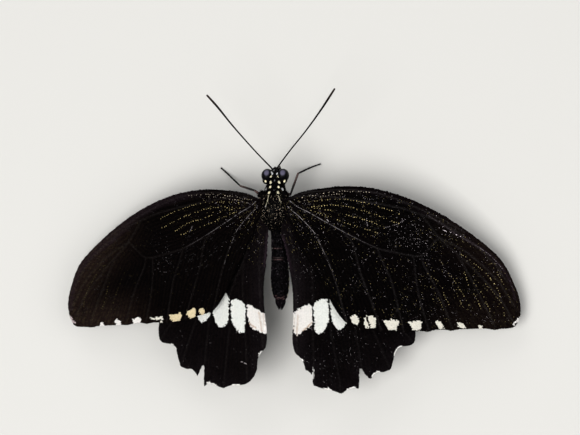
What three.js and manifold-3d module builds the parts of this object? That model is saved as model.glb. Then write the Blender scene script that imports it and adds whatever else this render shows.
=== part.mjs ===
// A male common mormon swallowtail, life size, standing on its six feet with its wings spread flat.
// Millimetres. +X is the butterfly's own right, +Y is the way it faces and +Z is up.
// The origin is on the ground under the middle of the model.
// While it is built, x = 0 is the middle of the body and y = 0 is the middle of the thorax.
import * as THREE from "three";
import { mergeVertices } from "three/addons/utils/BufferGeometryUtils.js";
import Module from "manifold-3d";

const wasm = await Module();
wasm.setup();

// ---------------------------------------------------------------- driving dimensions

const GAP = 0.16; // the thin cut between two neighbouring pieces
const WING_THICKNESS = 0.5;
const BODY_SIDES = 16;
const LIMB_SIDES = 7;
const RIGHT = 1;
const LEFT = -1;

// The planform of each wing, from its root: outward and forward, once round with the sun, seen from above.
// The forewing runs along the costa to the apex, back along the outer margin to the tornus, and home.
const FOREWING_OUTLINE = [
  [-0.9, 0.1], [0.6, 0.9], [2.8, 1.6], [6.4, 2.3], [10.9, 2.75], [16.9, 2.2], [22.9, 0.45], [28.9, -2.45],
  [35.0, -6.4], [40.4, -11.0], [43.2, -16.0], [44.3, -19.8], [43.9, -22.6], [42.2, -24.1], // the apex
  [36.4, -24.2], [29.2, -24.5], [24.0, -24.9], [18.5, -24.8], [13.5, -23.9], [11.0, -22.9], // the tornus
  [9.0, -20.3], [7.0, -16.2], [4.9, -12.4], [2.6, -8.5], [0.9, -4.4], [-0.9, -1.6],
];
// The hindwing has a tooth at the end of each vein and a dip between two teeth.
const HINDWING_FRONT = [
  [-0.9, 0.6], [0.9, 1.4], [4.5, 1.0], [10.5, -3.2], [16.5, -9.4], [21.4, -16.0], [23.8, -20.8],
  [24.2, -23.6], [23.4, -25.0], [21.3, -25.4], [20.4, -26.5], // the first tooth, its dip
  [19.9, -28.4], [19.3, -29.6], [18.2, -30.1], [17.1, -30.1], // the second tooth, its dip
];
// Both tails are lost. Each wing has its own tear where its tail grew, and its own worn hem behind it.
const HINDWING_HEMS = {
  [RIGHT]: [
    [16.3, -30.6], [15.73, -31.4], [15.0, -30.9], [14.05, -29.6], [13.7, -30.0], [13.56, -33.05], // the tear
    [12.7, -33.0], [11.2, -33.5], [10.2, -34.0], [8.3, -33.5], [5.9, -32.9], [5.0, -32.2], [4.9, -31.1],
  ],
  [LEFT]: [
    [16.5, -30.8], [15.9, -31.5], [15.3, -30.4], [14.8, -29.5], [14.35, -29.6], [14.6, -33.2], // the tear
    [13.8, -32.9], [12.7, -33.0], [10.6, -33.7], [8.6, -33.3], [6.5, -33.3], [5.0, -32.7], [4.1, -31.6],
  ],
};
const HINDWING_INNER = [
  [3.5, -29.6], [3.15, -28.3], [2.4, -27.3], [1.5, -26.2], // the last dip
  [1.05, -24.0], [1.2, -20.0], [1.1, -15.0], [0.6, -10.0], [0.0, -6.5], [-0.9, -3.4],
];

// How each wing is held: its root in space, how far it droops below the level, how far its leading edge is
// swung forward, how much wider its fan is opened and how much narrower its hind part is drawn in.
const FOREWINGS = {
  [RIGHT]: { root: [2.4, 1.9, 13.5], droop: 12.5, sweep: 0, fan: 0, narrow: 0 },
  [LEFT]: { root: [2.4, 1.9, 13.5], droop: 11.5, sweep: -2.6, fan: -0.014, narrow: 0.161 },
};
const HINDWINGS = {
  [RIGHT]: { root: [2.5, -0.4, 12.5], droop: 13.5, sweep: 0, fan: 0, narrow: 0 },
  [LEFT]: { root: [2.3, -0.2, 12.5], droop: 17.7, sweep: 0.6, fan: 0.048, narrow: 0.022 },
};
const FOREWING_FORM = { hub: [3, 0.2], span: 44, arch: 1.3, rings: [0.35, 0.7, 1], curl: 0 };
const HINDWING_FORM = { hub: [6, -5], span: 30, arch: 1.0, rings: [0.4, 0.78, 1], curl: 1 };
const CURL_WIDTH = 3.6; // the strip along the abdomen over which a hindwing turns down

// The trunk from the face to the end of the abdomen: y, half width, half height, and x and z of its middle.
// The abdomen hangs a little, and a little to the right.
const TRUNK = [
  [7.7, 0.25, 0.35, 0, 11.5], [7.5, 0.9, 1.05, 0, 11.4], [7.0, 1.4, 1.6, 0, 11.2],
  [6.3, 1.7, 1.8, 0, 11.0], [5.5, 1.65, 1.6, 0, 10.95], [4.95, 1.45, 1.4, 0, 11.0],
  [4.4, 1.7, 1.65, 0, 11.1], [3.7, 1.95, 2.1, 0, 11.2], [3.2, 2.2, 2.5, 0, 11.25],
  [2.2, 2.65, 2.95, 0, 11.3], [0.6, 2.85, 3.15, 0, 11.3], [-1.2, 2.7, 3.05, 0, 11.2],
  [-2.7, 2.15, 2.5, 0.05, 11.05], [-3.6, 1.5, 1.75, 0.15, 10.9], [-4.3, 1.3, 1.5, 0.27, 10.75],
  [-6.0, 1.5, 1.65, 0.42, 10.4], [-8.5, 1.65, 1.75, 0.5, 9.95], [-11.0, 1.68, 1.75, 0.55, 9.6],
  [-13.5, 1.6, 1.65, 0.55, 9.35], [-15.5, 1.4, 1.4, 0.55, 9.2], [-16.8, 1.15, 1.15, 0.55, 9.1],
  [-17.8, 0.75, 0.85, 0.55, 9.05], [-18.5, 0.3, 0.4, 0.55, 9.0],
];
const TRUNK_STEPS = 38;
// Where the trunk is parted, from front to back.
const NECK_Y = 4.95;
const COLLAR_Y = 3.3;
const WAIST_Y = -3.9;
const CLASPER_Y = -16.6;

const EYE = { at: [1.45, 6.3, 11.3], radii: [1.15, 1.3, 1.5] };
const TEGULA = { at: [2.05, 2.75, 13.0], radii: [0.75, 1.0, 0.6] };

const PALP = [[0.85, 6.6, 9.2], [0.8, 7.35, 9.5], [0.75, 7.75, 10.2], [0.6, 7.85, 11.1]];
const PALP_RADII = [0.36, 0.42, 0.38, 0.25];

// An antenna from its socket to its tip, with its half thickness.
const ANTENNA_TIPS = { [RIGHT]: [12.55, 22.3, 17.2], [LEFT]: [11.8, 21.5, 17.2] };
const ANTENNA_SOCKET = [0.52, 7.2, 12.2];
const ANTENNA_BOW = 0.08; // how far its middle is bowed outward
const ANTENNA_RADII = [0.3, 0.25, 0.25, 0.25, 0.27, 0.34, 0.41, 0.3];

// Each leg's joints: the coxa, the trochanter, the knee and the ankle, then three points along the tarsus,
// which ends lying on the ground.
const LEGS = {
  leg_fore_right: [
    [0.9, 3.4, 9.6], [1.3, 4.4, 7.6], [2.5, 2.9, 9.2], [3.0, 6.9, 3.2],
    [4.3, 8.0, 1.1], [5.5, 8.6, 0.25], [6.4, 8.9, 0.2],
  ],
  leg_fore_left: [
    [-0.9, 3.4, 9.6], [-1.4, 4.6, 7.5], [-4.4, 3.6, 9.6], [-8.6, 4.6, 3.7],
    [-11.0, 6.4, 1.2], [-12.5, 7.6, 0.25], [-13.2, 8.2, 0.2],
  ],
  leg_mid_right: [
    [1.1, 0.6, 9.0], [1.8, 0.6, 7.3], [6.4, -0.7, 9.2], [10.2, -2.4, 3.2],
    [12.0, -3.7, 1.1], [13.5, -4.8, 0.25], [14.3, -5.4, 0.2],
  ],
  leg_mid_left: [
    [-1.1, 0.6, 9.0], [-1.8, 0.6, 7.3], [-6.2, -0.5, 9.0], [-9.9, -1.9, 3.2],
    [-11.8, -3.0, 1.1], [-13.3, -4.0, 0.25], [-14.1, -4.6, 0.2],
  ],
  leg_hind_right: [
    [1.0, -1.8, 9.0], [1.5, -2.3, 7.4], [4.9, -5.8, 9.2], [7.2, -11.6, 3.5],
    [8.0, -14.3, 1.1], [8.6, -16.5, 0.25], [8.9, -17.5, 0.2],
  ],
  leg_hind_left: [
    [-1.0, -1.8, 9.0], [-1.5, -2.3, 7.4], [-5.1, -5.6, 9.0], [-7.8, -11.1, 3.5],
    [-8.8, -13.7, 1.1], [-9.6, -15.9, 0.25], [-10.0, -16.9, 0.2],
  ],
};
const LEG_RADII = [0.62, 0.52, 0.36, 0.3, 0.27, 0.27, 0.27];
const JOINT_BEND = 0.7; // how far from a leg's joint it begins to bend

// The tongue is coiled like a watch spring under the face, and its root goes up into the head.
const PROBOSCIS = { middle: [0, 7.0, 7.75], inner: 0.34, pitch: 0.6, turns: 1.9, radius: 0.25 };
const PROBOSCIS_ROOT = [0, 6.2, 9.9];

const BLACK_SCALES = { color: 0x0d0a0a, roughness: 0.8, metalness: 0 };
const FINISH = {
  body: BLACK_SCALES,
  wing: { color: 0x120d0c, roughness: 0.7, metalness: 0 },
  eye: { color: 0x08070a, roughness: 0.15, metalness: 0 },
  feeler: { color: 0x050505, roughness: 0.5, metalness: 0 },
  limb: { color: 0x17110e, roughness: 0.6, metalness: 0 },
};

// ---------------------------------------------------------------- solids and cuts

function toSolid(geometry) {
  const bare = geometry.clone();
  bare.deleteAttribute("normal");
  bare.deleteAttribute("uv");
  const merged = mergeVertices(bare, 1e-4);
  const mesh = new wasm.Mesh({
    numProp: 3,
    vertProperties: merged.attributes.position.array,
    triVerts: new Uint32Array(merged.index.array),
  });
  return new wasm.Manifold(mesh);
}

function toGeometry(solid) {
  const mesh = solid.getMesh();
  const position = new Float32Array(mesh.numVert * 3);
  for (let i = 0; i < mesh.numVert; i++) {
    const from = i * mesh.numProp;
    position.set(mesh.vertProperties.subarray(from, from + 3), 3 * i);
  }
  const geometry = new THREE.BufferGeometry();
  geometry.setAttribute("position", new THREE.BufferAttribute(position, 3));
  geometry.setIndex(new THREE.BufferAttribute(mesh.triVerts, 1));
  return geometry;
}

function boxBetween(low, high) {
  const size = high.map((value, axis) => value - low[axis]);
  const middle = high.map((value, axis) => (value + low[axis]) / 2);
  return toSolid(new THREE.BoxGeometry(...size).translate(...middle));
}

function ellipsoid(at, radii, side = RIGHT, grow = 0) {
  const ball = new THREE.SphereGeometry(1, 14, 9);
  ball.scale(...radii.map((radius) => radius + grow));
  return toSolid(ball.translate(side * at[0], at[1], at[2]));
}

// The closed surface through rings of points, all with the same number of points, with a fan at each end.
function skinRings(rings) {
  const count = rings[0].length;
  const points = rings.flat();
  const faces = [];
  rings.slice(1).forEach((_, k) => {
    for (let i = 0; i < count; i++) {
      const next = (i + 1) % count;
      const [a, b] = [k * count + i, k * count + next];
      faces.push(a, b, b + count, a, b + count, a + count);
    }
  });
  const first = points.push(centreOf(rings[0])) - 1;
  const last = points.push(centreOf(rings.at(-1))) - 1;
  const offset = (rings.length - 1) * count;
  for (let i = 0; i < count; i++) {
    const next = (i + 1) % count;
    faces.push(first, next, i, last, offset + i, offset + next);
  }
  return meshFrom(points, faces);
}

function centreOf(ring) {
  return ring.reduce((sum, point) => sum.add(point), new THREE.Vector3()).divideScalar(ring.length);
}

function meshFrom(points, faces) {
  const geometry = new THREE.BufferGeometry().setFromPoints(points);
  geometry.setIndex(faces);
  const solid = toSolid(geometry);
  return solid.volume() < 0 ? meshFrom(points, faces.reverse()) : solid;
}

// A smooth value from a list of numbers, at a share from 0 to 1 of the way along it.
function along(values, share) {
  const curve = new THREE.CatmullRomCurve3(values.map((value, i) => new THREE.Vector3(i, value, 0)));
  return curve.getPoint(share).y;
}

// ---------------------------------------------------------------- trunk

function trunk(grow = 0) {
  const path = new THREE.CatmullRomCurve3(TRUNK.map(([y, , , x, z]) => new THREE.Vector3(x, y, z)));
  const rings = [];
  for (let k = 0; k <= TRUNK_STEPS; k++) {
    const share = k / TRUNK_STEPS;
    const middle = path.getPoint(share);
    const width = along(TRUNK.map((station) => station[1]), share) + grow;
    const height = along(TRUNK.map((station) => station[2]), share) + grow;
    const ring = [];
    for (let i = 0; i < BODY_SIDES; i++) {
      const turn = (2 * Math.PI * i) / BODY_SIDES;
      const offset = new THREE.Vector3(width * Math.cos(turn), 0, height * Math.sin(turn));
      ring.push(offset.add(middle));
    }
    rings.push(ring);
  }
  return skinRings(rings);
}

function slice(solid, back, front) {
  const reach = 9;
  return solid.intersect(boxBetween([-reach, back, 0], [reach, front, 20]));
}

// The space on one side of the middle of the abdomen's end.
function besideTail(side) {
  const middle = TRUNK.at(-1)[3];
  const inner = middle + (side * GAP) / 2;
  const outer = middle + side * 9;
  return boxBetween([Math.min(inner, outer), -20, 0], [Math.max(inner, outer), 0, 20]);
}

// ---------------------------------------------------------------- limbs

// A tube through points, with a half thickness that runs smoothly through the radii, and rounded ends.
function limb(points, radii, steps, sides = LIMB_SIDES) {
  const stations = points.map((point) => new THREE.Vector3(...point));
  const path = new THREE.CatmullRomCurve3(stations, false, "centripetal");
  const frames = path.computeFrenetFrames(steps);
  const rings = [];
  const addRing = (k, share, factor, shift) => {
    const radius = factor * along(radii, share);
    const middle = path.getPointAt(share).addScaledVector(frames.tangents[k], shift);
    const ring = [];
    for (let i = 0; i < sides; i++) {
      const turn = (2 * Math.PI * i) / sides;
      const point = middle.clone().addScaledVector(frames.normals[k], radius * Math.cos(turn));
      ring.push(point.addScaledVector(frames.binormals[k], radius * Math.sin(turn)));
    }
    rings.push(ring);
  };
  addRing(0, 0, 0.5, -0.6 * radii[0]);
  for (let k = 0; k <= steps; k++) addRing(k, k / steps, 1, 0);
  addRing(steps, 1, 0.5, 0.6 * radii.at(-1));
  return skinRings(rings);
}

// The same path with a tight bend instead of a sharp corner at each joint.
function bentAtJoints(joints) {
  const path = [joints[0]];
  for (let i = 1; i + 1 < joints.length; i++) {
    const joint = new THREE.Vector3(...joints[i]);
    for (const neighbour of [joints[i - 1], joints[i + 1]]) {
      const away = new THREE.Vector3(...neighbour).sub(joint);
      const reach = Math.min(JOINT_BEND, away.length() / 3);
      path.push(joint.clone().addScaledVector(away.normalize(), reach).toArray());
    }
  }
  return [...path, joints.at(-1)];
}

function antenna(side) {
  const start = new THREE.Vector3(side * ANTENNA_SOCKET[0], ANTENNA_SOCKET[1], ANTENNA_SOCKET[2]);
  const [x, y, z] = ANTENNA_TIPS[side];
  const end = new THREE.Vector3(side * x, y, z);
  const points = [];
  for (const share of [0, 0.12, 0.3, 0.5, 0.7, 0.88, 1]) {
    const point = start.clone().lerp(end, share);
    const bow = ANTENNA_BOW * Math.sin(Math.PI * share) ** 2;
    points.push([point.x + side * bow, point.y, point.z + bow]);
  }
  return limb(points, ANTENNA_RADII, 16, 6);
}

function palp(side) {
  const points = PALP.map(([x, y, z]) => [side * x, y, z]);
  return limb(points, PALP_RADII, 6);
}

function proboscis() {
  const { middle, inner, pitch, turns, radius } = PROBOSCIS;
  const points = [];
  const steps = Math.round(12 * turns);
  for (let k = 0; k <= steps; k++) {
    const turn = (k / steps) * turns;
    const reach = inner + pitch * turn;
    const angle = 2 * Math.PI * (turn - turns) + Math.PI / 2;
    points.push([0, middle[1] + reach * Math.cos(angle), middle[2] + reach * Math.sin(angle)]);
  }
  return limb([...points, PROBOSCIS_ROOT], [radius, radius], 28, 6);
}

// ---------------------------------------------------------------- wings

// A point of the flat planform, as that wing opens and sweeps it.
function spread([u, v], { sweep, fan, narrow }) {
  const radius = Math.hypot(u, v);
  const angle = Math.atan2(v, u);
  const drawn = radius * (1 - (narrow * -Math.min(angle, 0)) / (Math.PI / 2));
  const turned = angle * (1 + fan) + THREE.MathUtils.degToRad(sweep);
  return [drawn * Math.cos(turned), drawn * Math.sin(turned)];
}

// The rise of the wing over its flat plane: arched along its span, and turned down beside the abdomen.
function rise(u, v, { span, arch, curl }) {
  const share = u / span;
  const inner = Math.max(0, 1 - Math.max(u, 0) / CURL_WIDTH);
  const behind = THREE.MathUtils.smoothstep(-v, 3, 9);
  return arch * (0.6 * share - share * share) - curl * inner * inner * behind;
}

function wing(outline, form, side, hold) {
  const contour = new THREE.SplineCurve([...outline, outline[0]].map(([u, v]) => new THREE.Vector2(u, v)));
  const count = 2 * outline.length;
  const rim = contour.getPoints(count).slice(0, count);
  const droop = THREE.MathUtils.degToRad(hold.droop);
  const place = (u, v, lift) => {
    const [x, y] = spread([u, v], hold);
    const z = rise(x, y, form) + lift;
    return new THREE.Vector3(
      side * (hold.root[0] + x * Math.cos(droop) + z * Math.sin(droop)),
      hold.root[1] + y,
      hold.root[2] - x * Math.sin(droop) + z * Math.cos(droop),
    );
  };
  const [hubU, hubV] = form.hub;
  const layer = (lift) => {
    const rings = form.rings.map((share) =>
      rim.map(({ x, y }) => place(hubU + (x - hubU) * share, hubV + (y - hubV) * share, lift)),
    );
    return [place(hubU, hubV, lift), ...rings.flat()];
  };
  const points = [...layer(WING_THICKNESS / 2), ...layer(-WING_THICKNESS / 2)];
  const lower = points.length / 2;
  const faces = [];
  for (let i = 0; i < count; i++) {
    const next = (i + 1) % count;
    faces.push(0, 1 + i, 1 + next, lower, lower + 1 + next, lower + 1 + i);
    for (let k = 0; k + 1 < form.rings.length; k++) {
      const [a, b] = [1 + k * count + i, 1 + k * count + next];
      faces.push(a, a + count, b + count, a, b + count, b);
      faces.push(lower + a, lower + b + count, lower + a + count, lower + a, lower + b, lower + b + count);
    }
    const [a, b] = [1 + (form.rings.length - 1) * count + i, 1 + (form.rings.length - 1) * count + next];
    faces.push(a, lower + a, lower + b, a, lower + b, b);
  }
  return meshFrom(points, faces);
}

// ---------------------------------------------------------------- assembly

const group = new THREE.Group();

function add(name, solid, finish) {
  const mesh = new THREE.Mesh(toGeometry(solid), new THREE.MeshStandardMaterial(FINISH[finish]));
  mesh.name = name;
  group.add(mesh);
}

const body = trunk();
const grownBody = trunk(GAP);
const bothSides = [["right", RIGHT], ["left", LEFT]];

let head = slice(body, NECK_Y + GAP / 2, 9);
for (const [, side] of bothSides) head = head.subtract(ellipsoid(EYE.at, EYE.radii, side, GAP));
add("head", head, "body");
add("collar", slice(body, COLLAR_Y + GAP / 2, NECK_Y - GAP / 2), "body");
add("thorax", slice(body, WAIST_Y + GAP / 2, COLLAR_Y - GAP / 2), "body");
add("abdomen", slice(body, CLASPER_Y + GAP / 2, WAIST_Y - GAP / 2), "body");

const claspers = slice(body, -20, CLASPER_Y - GAP / 2);
const coil = proboscis().subtract(grownBody);
add("proboscis", coil, "feeler");

for (const [word, side] of bothSides) {
  add(`clasper_${word}`, claspers.intersect(besideTail(side)), "body");
  add(`eye_${word}`, ellipsoid(EYE.at, EYE.radii, side), "eye");
  add(`palp_${word}`, palp(side).subtract(grownBody), "body");
  const grownEye = ellipsoid(EYE.at, EYE.radii, side, GAP);
  add(`antenna_${word}`, antenna(side).subtract(grownBody).subtract(grownEye), "feeler");
  add(`tegula_${word}`, ellipsoid(TEGULA.at, TEGULA.radii, side).subtract(grownBody), "body");
  const shoulder = ellipsoid(TEGULA.at, TEGULA.radii, side, GAP);
  const forewing = wing(FOREWING_OUTLINE, FOREWING_FORM, side, FOREWINGS[side]);
  add(`forewing_${word}`, forewing.subtract(grownBody).subtract(shoulder), "wing");
  const margin = [...HINDWING_FRONT, ...HINDWING_HEMS[side], ...HINDWING_INNER];
  const hindwing = wing(margin, HINDWING_FORM, side, HINDWINGS[side]);
  add(`hindwing_${word}`, hindwing.subtract(grownBody).subtract(shoulder), "wing");
}

const underground = boxBetween([-30, -30, -5], [30, 30, 0]);
for (const [name, joints] of Object.entries(LEGS)) {
  const leg = limb(bentAtJoints(joints), LEG_RADII, 20);
  add(name, leg.subtract(grownBody).subtract(underground), "limb");
}

// The origin goes to the ground under the middle of the model.
const box = new THREE.Box3().setFromObject(group);
const middle = box.getCenter(new THREE.Vector3());
group.position.set(-middle.x, -middle.y, -box.min.z);

export default group;
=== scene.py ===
# The looks of a male common mormon swallowtail, life size, standing on a plain pale floor.
import math

import bpy
import numpy as np
from mathutils import Matrix, Vector, bvhtree, geometry, kdtree


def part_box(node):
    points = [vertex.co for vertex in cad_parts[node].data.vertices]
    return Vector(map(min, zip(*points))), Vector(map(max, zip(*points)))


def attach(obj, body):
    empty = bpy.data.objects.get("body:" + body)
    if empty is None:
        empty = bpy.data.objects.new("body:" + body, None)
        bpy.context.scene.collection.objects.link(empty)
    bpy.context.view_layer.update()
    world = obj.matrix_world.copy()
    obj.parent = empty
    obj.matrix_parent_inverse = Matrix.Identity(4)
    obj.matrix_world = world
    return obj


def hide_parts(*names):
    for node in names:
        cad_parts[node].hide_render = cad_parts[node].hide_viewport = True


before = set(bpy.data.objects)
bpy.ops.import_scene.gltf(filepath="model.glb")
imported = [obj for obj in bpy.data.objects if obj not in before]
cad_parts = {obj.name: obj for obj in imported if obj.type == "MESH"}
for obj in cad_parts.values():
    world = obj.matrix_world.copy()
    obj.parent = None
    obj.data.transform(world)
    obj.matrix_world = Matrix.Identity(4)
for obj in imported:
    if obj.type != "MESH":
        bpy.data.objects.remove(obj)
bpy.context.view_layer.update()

# Sizes are millimetres in the body's own frame: x = 0 is the middle of the body, y = 0 the middle of the
# thorax and z = 0 the ground. +X is the butterfly's right and +Y the way it faces.
MM = 0.001
EYE_Y = 6.3  # where the middles of the eyes are in that frame
RIGHT, LEFT = 1, -1
SIDE_WORDS = {RIGHT: "right", LEFT: "left"}


def body_origin():
    """Where the body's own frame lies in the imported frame, in millimetres."""
    middles = [(low + high) / 2 for low, high in (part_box("eye_right"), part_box("eye_left"))]
    middle = (middles[0] + middles[1]) / 2 / MM
    return np.array([middle.x, middle.y - EYE_Y, 0.0])


BODY_ORIGIN = body_origin()

# ------------------------------------------------------------------ wings: driving dimensions

# The planform of each wing from its root, outward and forward.
FOREWING_OUTLINE = [
    (-0.9, 0.0), (0.6, 0.35), (2.1, 1.03), (4.0, 1.6), (7.0, 2.2), (10.9, 2.58), (14.4, 2.45),
    (18.0, 1.88), (22.9, 0.38), (28.9, -2.45), (35.0, -6.4), (40.4, -11.0), (43.2, -16.0), (44.3, -19.8),
    (43.9, -22.6), (42.2, -24.1), (36.4, -24.2), (29.2, -24.5), (24.0, -24.9), (18.5, -24.8),
    (13.5, -23.8), (11.4, -22.85), (9.8, -21.15), (8.2, -18.4), (7.0, -16.1), (4.9, -12.4), (2.6, -8.5),
    (0.9, -4.4), (-0.9, -1.6),
]
HINDWING_FRONT = [
    (-0.9, 0.6), (0.9, 1.4), (4.5, 1.0), (10.5, -3.2), (16.5, -9.4), (21.4, -16.0), (23.8, -20.8),
    (24.2, -23.6), (23.4, -25.0), (21.3, -25.4), (20.4, -26.5), (19.9, -28.4), (19.3, -29.6),
    (18.2, -30.1), (17.1, -30.1),
]
HINDWING_HEMS = {
    RIGHT: [
        (16.3, -30.6), (15.73, -31.4), (15.0, -30.9), (14.05, -29.6), (13.7, -30.0), (13.56, -33.05),
        (12.7, -33.0), (11.2, -33.5), (10.2, -34.0), (8.3, -33.5), (5.9, -32.9), (5.0, -32.2),
        (5.05, -30.4), (5.02, -29.3), (4.96, -29.1), (4.9, -29.3), (4.84, -30.5), (4.6, -30.6),
        (4.1, -30.1), (3.5, -29.6), (3.15, -28.3),
    ],
    LEFT: [
        (16.5, -30.8), (15.9, -31.5), (15.3, -30.4), (14.8, -29.5), (14.35, -29.6), (14.6, -33.2),
        (13.8, -32.9), (12.7, -33.0), (10.6, -33.7), (8.6, -33.3), (6.6, -33.3), (5.2, -32.95),
        (4.0, -31.95), (3.25, -30.5), (2.95, -28.5),
    ],
}
HINDWING_INNER = [
    (2.4, -27.3), (1.5, -26.2), (1.05, -24.0), (1.2, -20.0), (1.15, -15.5), (0.85, -12.8), (0.42, -10.5),
    (-0.05, -8.3), (-0.6, -5.9), (-1.2, -3.4),
]
# Where a hem is torn and has lost its fringe: the middle and half width of each tear.
TEARS = {
    "hindwing_right": [((13.9, -31.2), 1.9), ((4.95, -30.0), 1.3)],
    "hindwing_left": [((14.9, -31.2), 1.9)],
}
# How each wing is held: its root, the degrees it droops and is turned forward, and how much its rear part is
# fanned out and narrowed.
HOLDS = {
    "forewing_right": dict(root=(2.4, 1.9, 13.5), droop=12.5, sweep=0, fan=0, narrow=0),
    "forewing_left": dict(root=(2.4, 1.9, 13.5), droop=11.5, sweep=-2.6, fan=-0.014, narrow=0.161),
    "hindwing_right": dict(root=(2.5, -0.4, 12.5), droop=13.5, sweep=0, fan=0, narrow=0),
    "hindwing_left": dict(root=(2.3, -0.2, 12.5), droop=17.7, sweep=0.6, fan=0.048, narrow=0.022),
}
# How a wing is bent: its span and the arch over it, and how far its inner part curls down beside the body.
FORMS = {"forewing": dict(span=44, arch=1.3, curl=0), "hindwing": dict(span=30, arch=1.0, curl=1)}
CURL_WIDTH = 3.6

# Veins, as points of the planform. The scales are worn off the first ones of the forewing, near its root.
BARE_VEINS = {"forewing": 2, "hindwing": 0}
FOREWING_VEINS = [
    [(0.6, 0.0), (2.33, -1.33), (4.28, -2.27), (7.6, -4.15), (12.51, -6.82), (16.98, -8.91), (20.61, -9.83),
     (23.86, -10.42)],  # cubitus
    [(0.4, -1.2), (1.39, -2.12), (2.55, -3.06), (4.86, -5.45), (6.02, -7.25), (8.89, -13.85), (10.99, -21.34),
     (11.4, -22.7)],  # anal vein
    [(1.08, 0.44), (4.83, 0.82), (10.99, 0.25), (16.98, -0.63), (21.92, -1.62), (25.37, -2.77)],  # radius
    [(1.08, 0.8), (4.83, 1.5), (10.99, 1.9), (16.85, 1.3), (22.5, -0.6), (28.5, -3.3), (33.5, -6.0)],
    [(25.37, -2.77), (29.07, -4.25), (34.0, -7.3), (38.5, -11.2), (41.6, -15.4)],
    [(25.37, -2.77), (28.66, -6.98), (31.98, -9.97), (36.5, -14.2), (40.6, -19.0), (42.6, -22.9)],
    [(28.66, -6.98), (34.0, -9.9), (39.3, -14.6), (42.9, -19.9)],
    [(31.98, -9.97), (34.37, -14.16), (37.69, -20.46), (39.3, -23.8)],
    [(28.66, -6.98), (27.4, -8.4), (25.6, -10.3), (23.86, -10.42)],  # the end of the cell
    [(25.4, -10.5), (25.97, -12.37), (28.96, -18.06), (31.2, -24.1)],
    [(23.86, -10.42), (24.76, -17.16), (26.8, -24.4)],
    [(16.98, -8.91), (18.47, -12.37), (19.97, -15.95), (22.1, -24.6)],
    [(10.99, -6.38), (12.47, -8.16), (13.97, -13.55), (15.78, -18.35), (17.9, -24.3)],
]
HINDWING_VEINS = [
    [(0.4, -0.6), (2.6, -5.2), (4.2, -9.0), (5.9, -12.0), (8.2, -13.4)],  # the lower edge of the cell
    [(0.6, 0.2), (4.6, -2.9), (7.6, -5.6), (9.8, -9.2), (10.6, -12.2)],  # the upper edge of the cell
    [(0.3, -1.5), (0.9, -6.0), (1.5, -12.0), (1.7, -19.0), (1.8, -26.1)],  # anal vein
    [(1.0, 0.6), (5.5, -0.9), (10.8, -5.0), (16.0, -10.6), (20.0, -15.6)],
    [(10.6, -12.2), (9.6, -13.2), (8.2, -13.4)],  # the end of the cell
    [(7.6, -5.6), (13.0, -9.6), (18.0, -14.6), (22.9, -20.4)],
    [(9.8, -9.2), (13.8, -13.2), (18.6, -18.4), (23.6, -24.3)],
    [(10.6, -12.2), (13.3, -16.4), (15.3, -20.3), (16.9, -24.0), (19.3, -29.3)],
    [(8.2, -13.4), (11.75, -18.5), (13.2, -24.5), (14.0, -29.2)],
    [(5.9, -12.0), (7.93, -16.55), (8.04, -20.9), (9.2, -28.0), (10.2, -33.8)],
    [(4.2, -9.0), (4.75, -13.0), (4.84, -18.0), (4.86, -24.0), (5.05, -32.3)],
]

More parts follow.
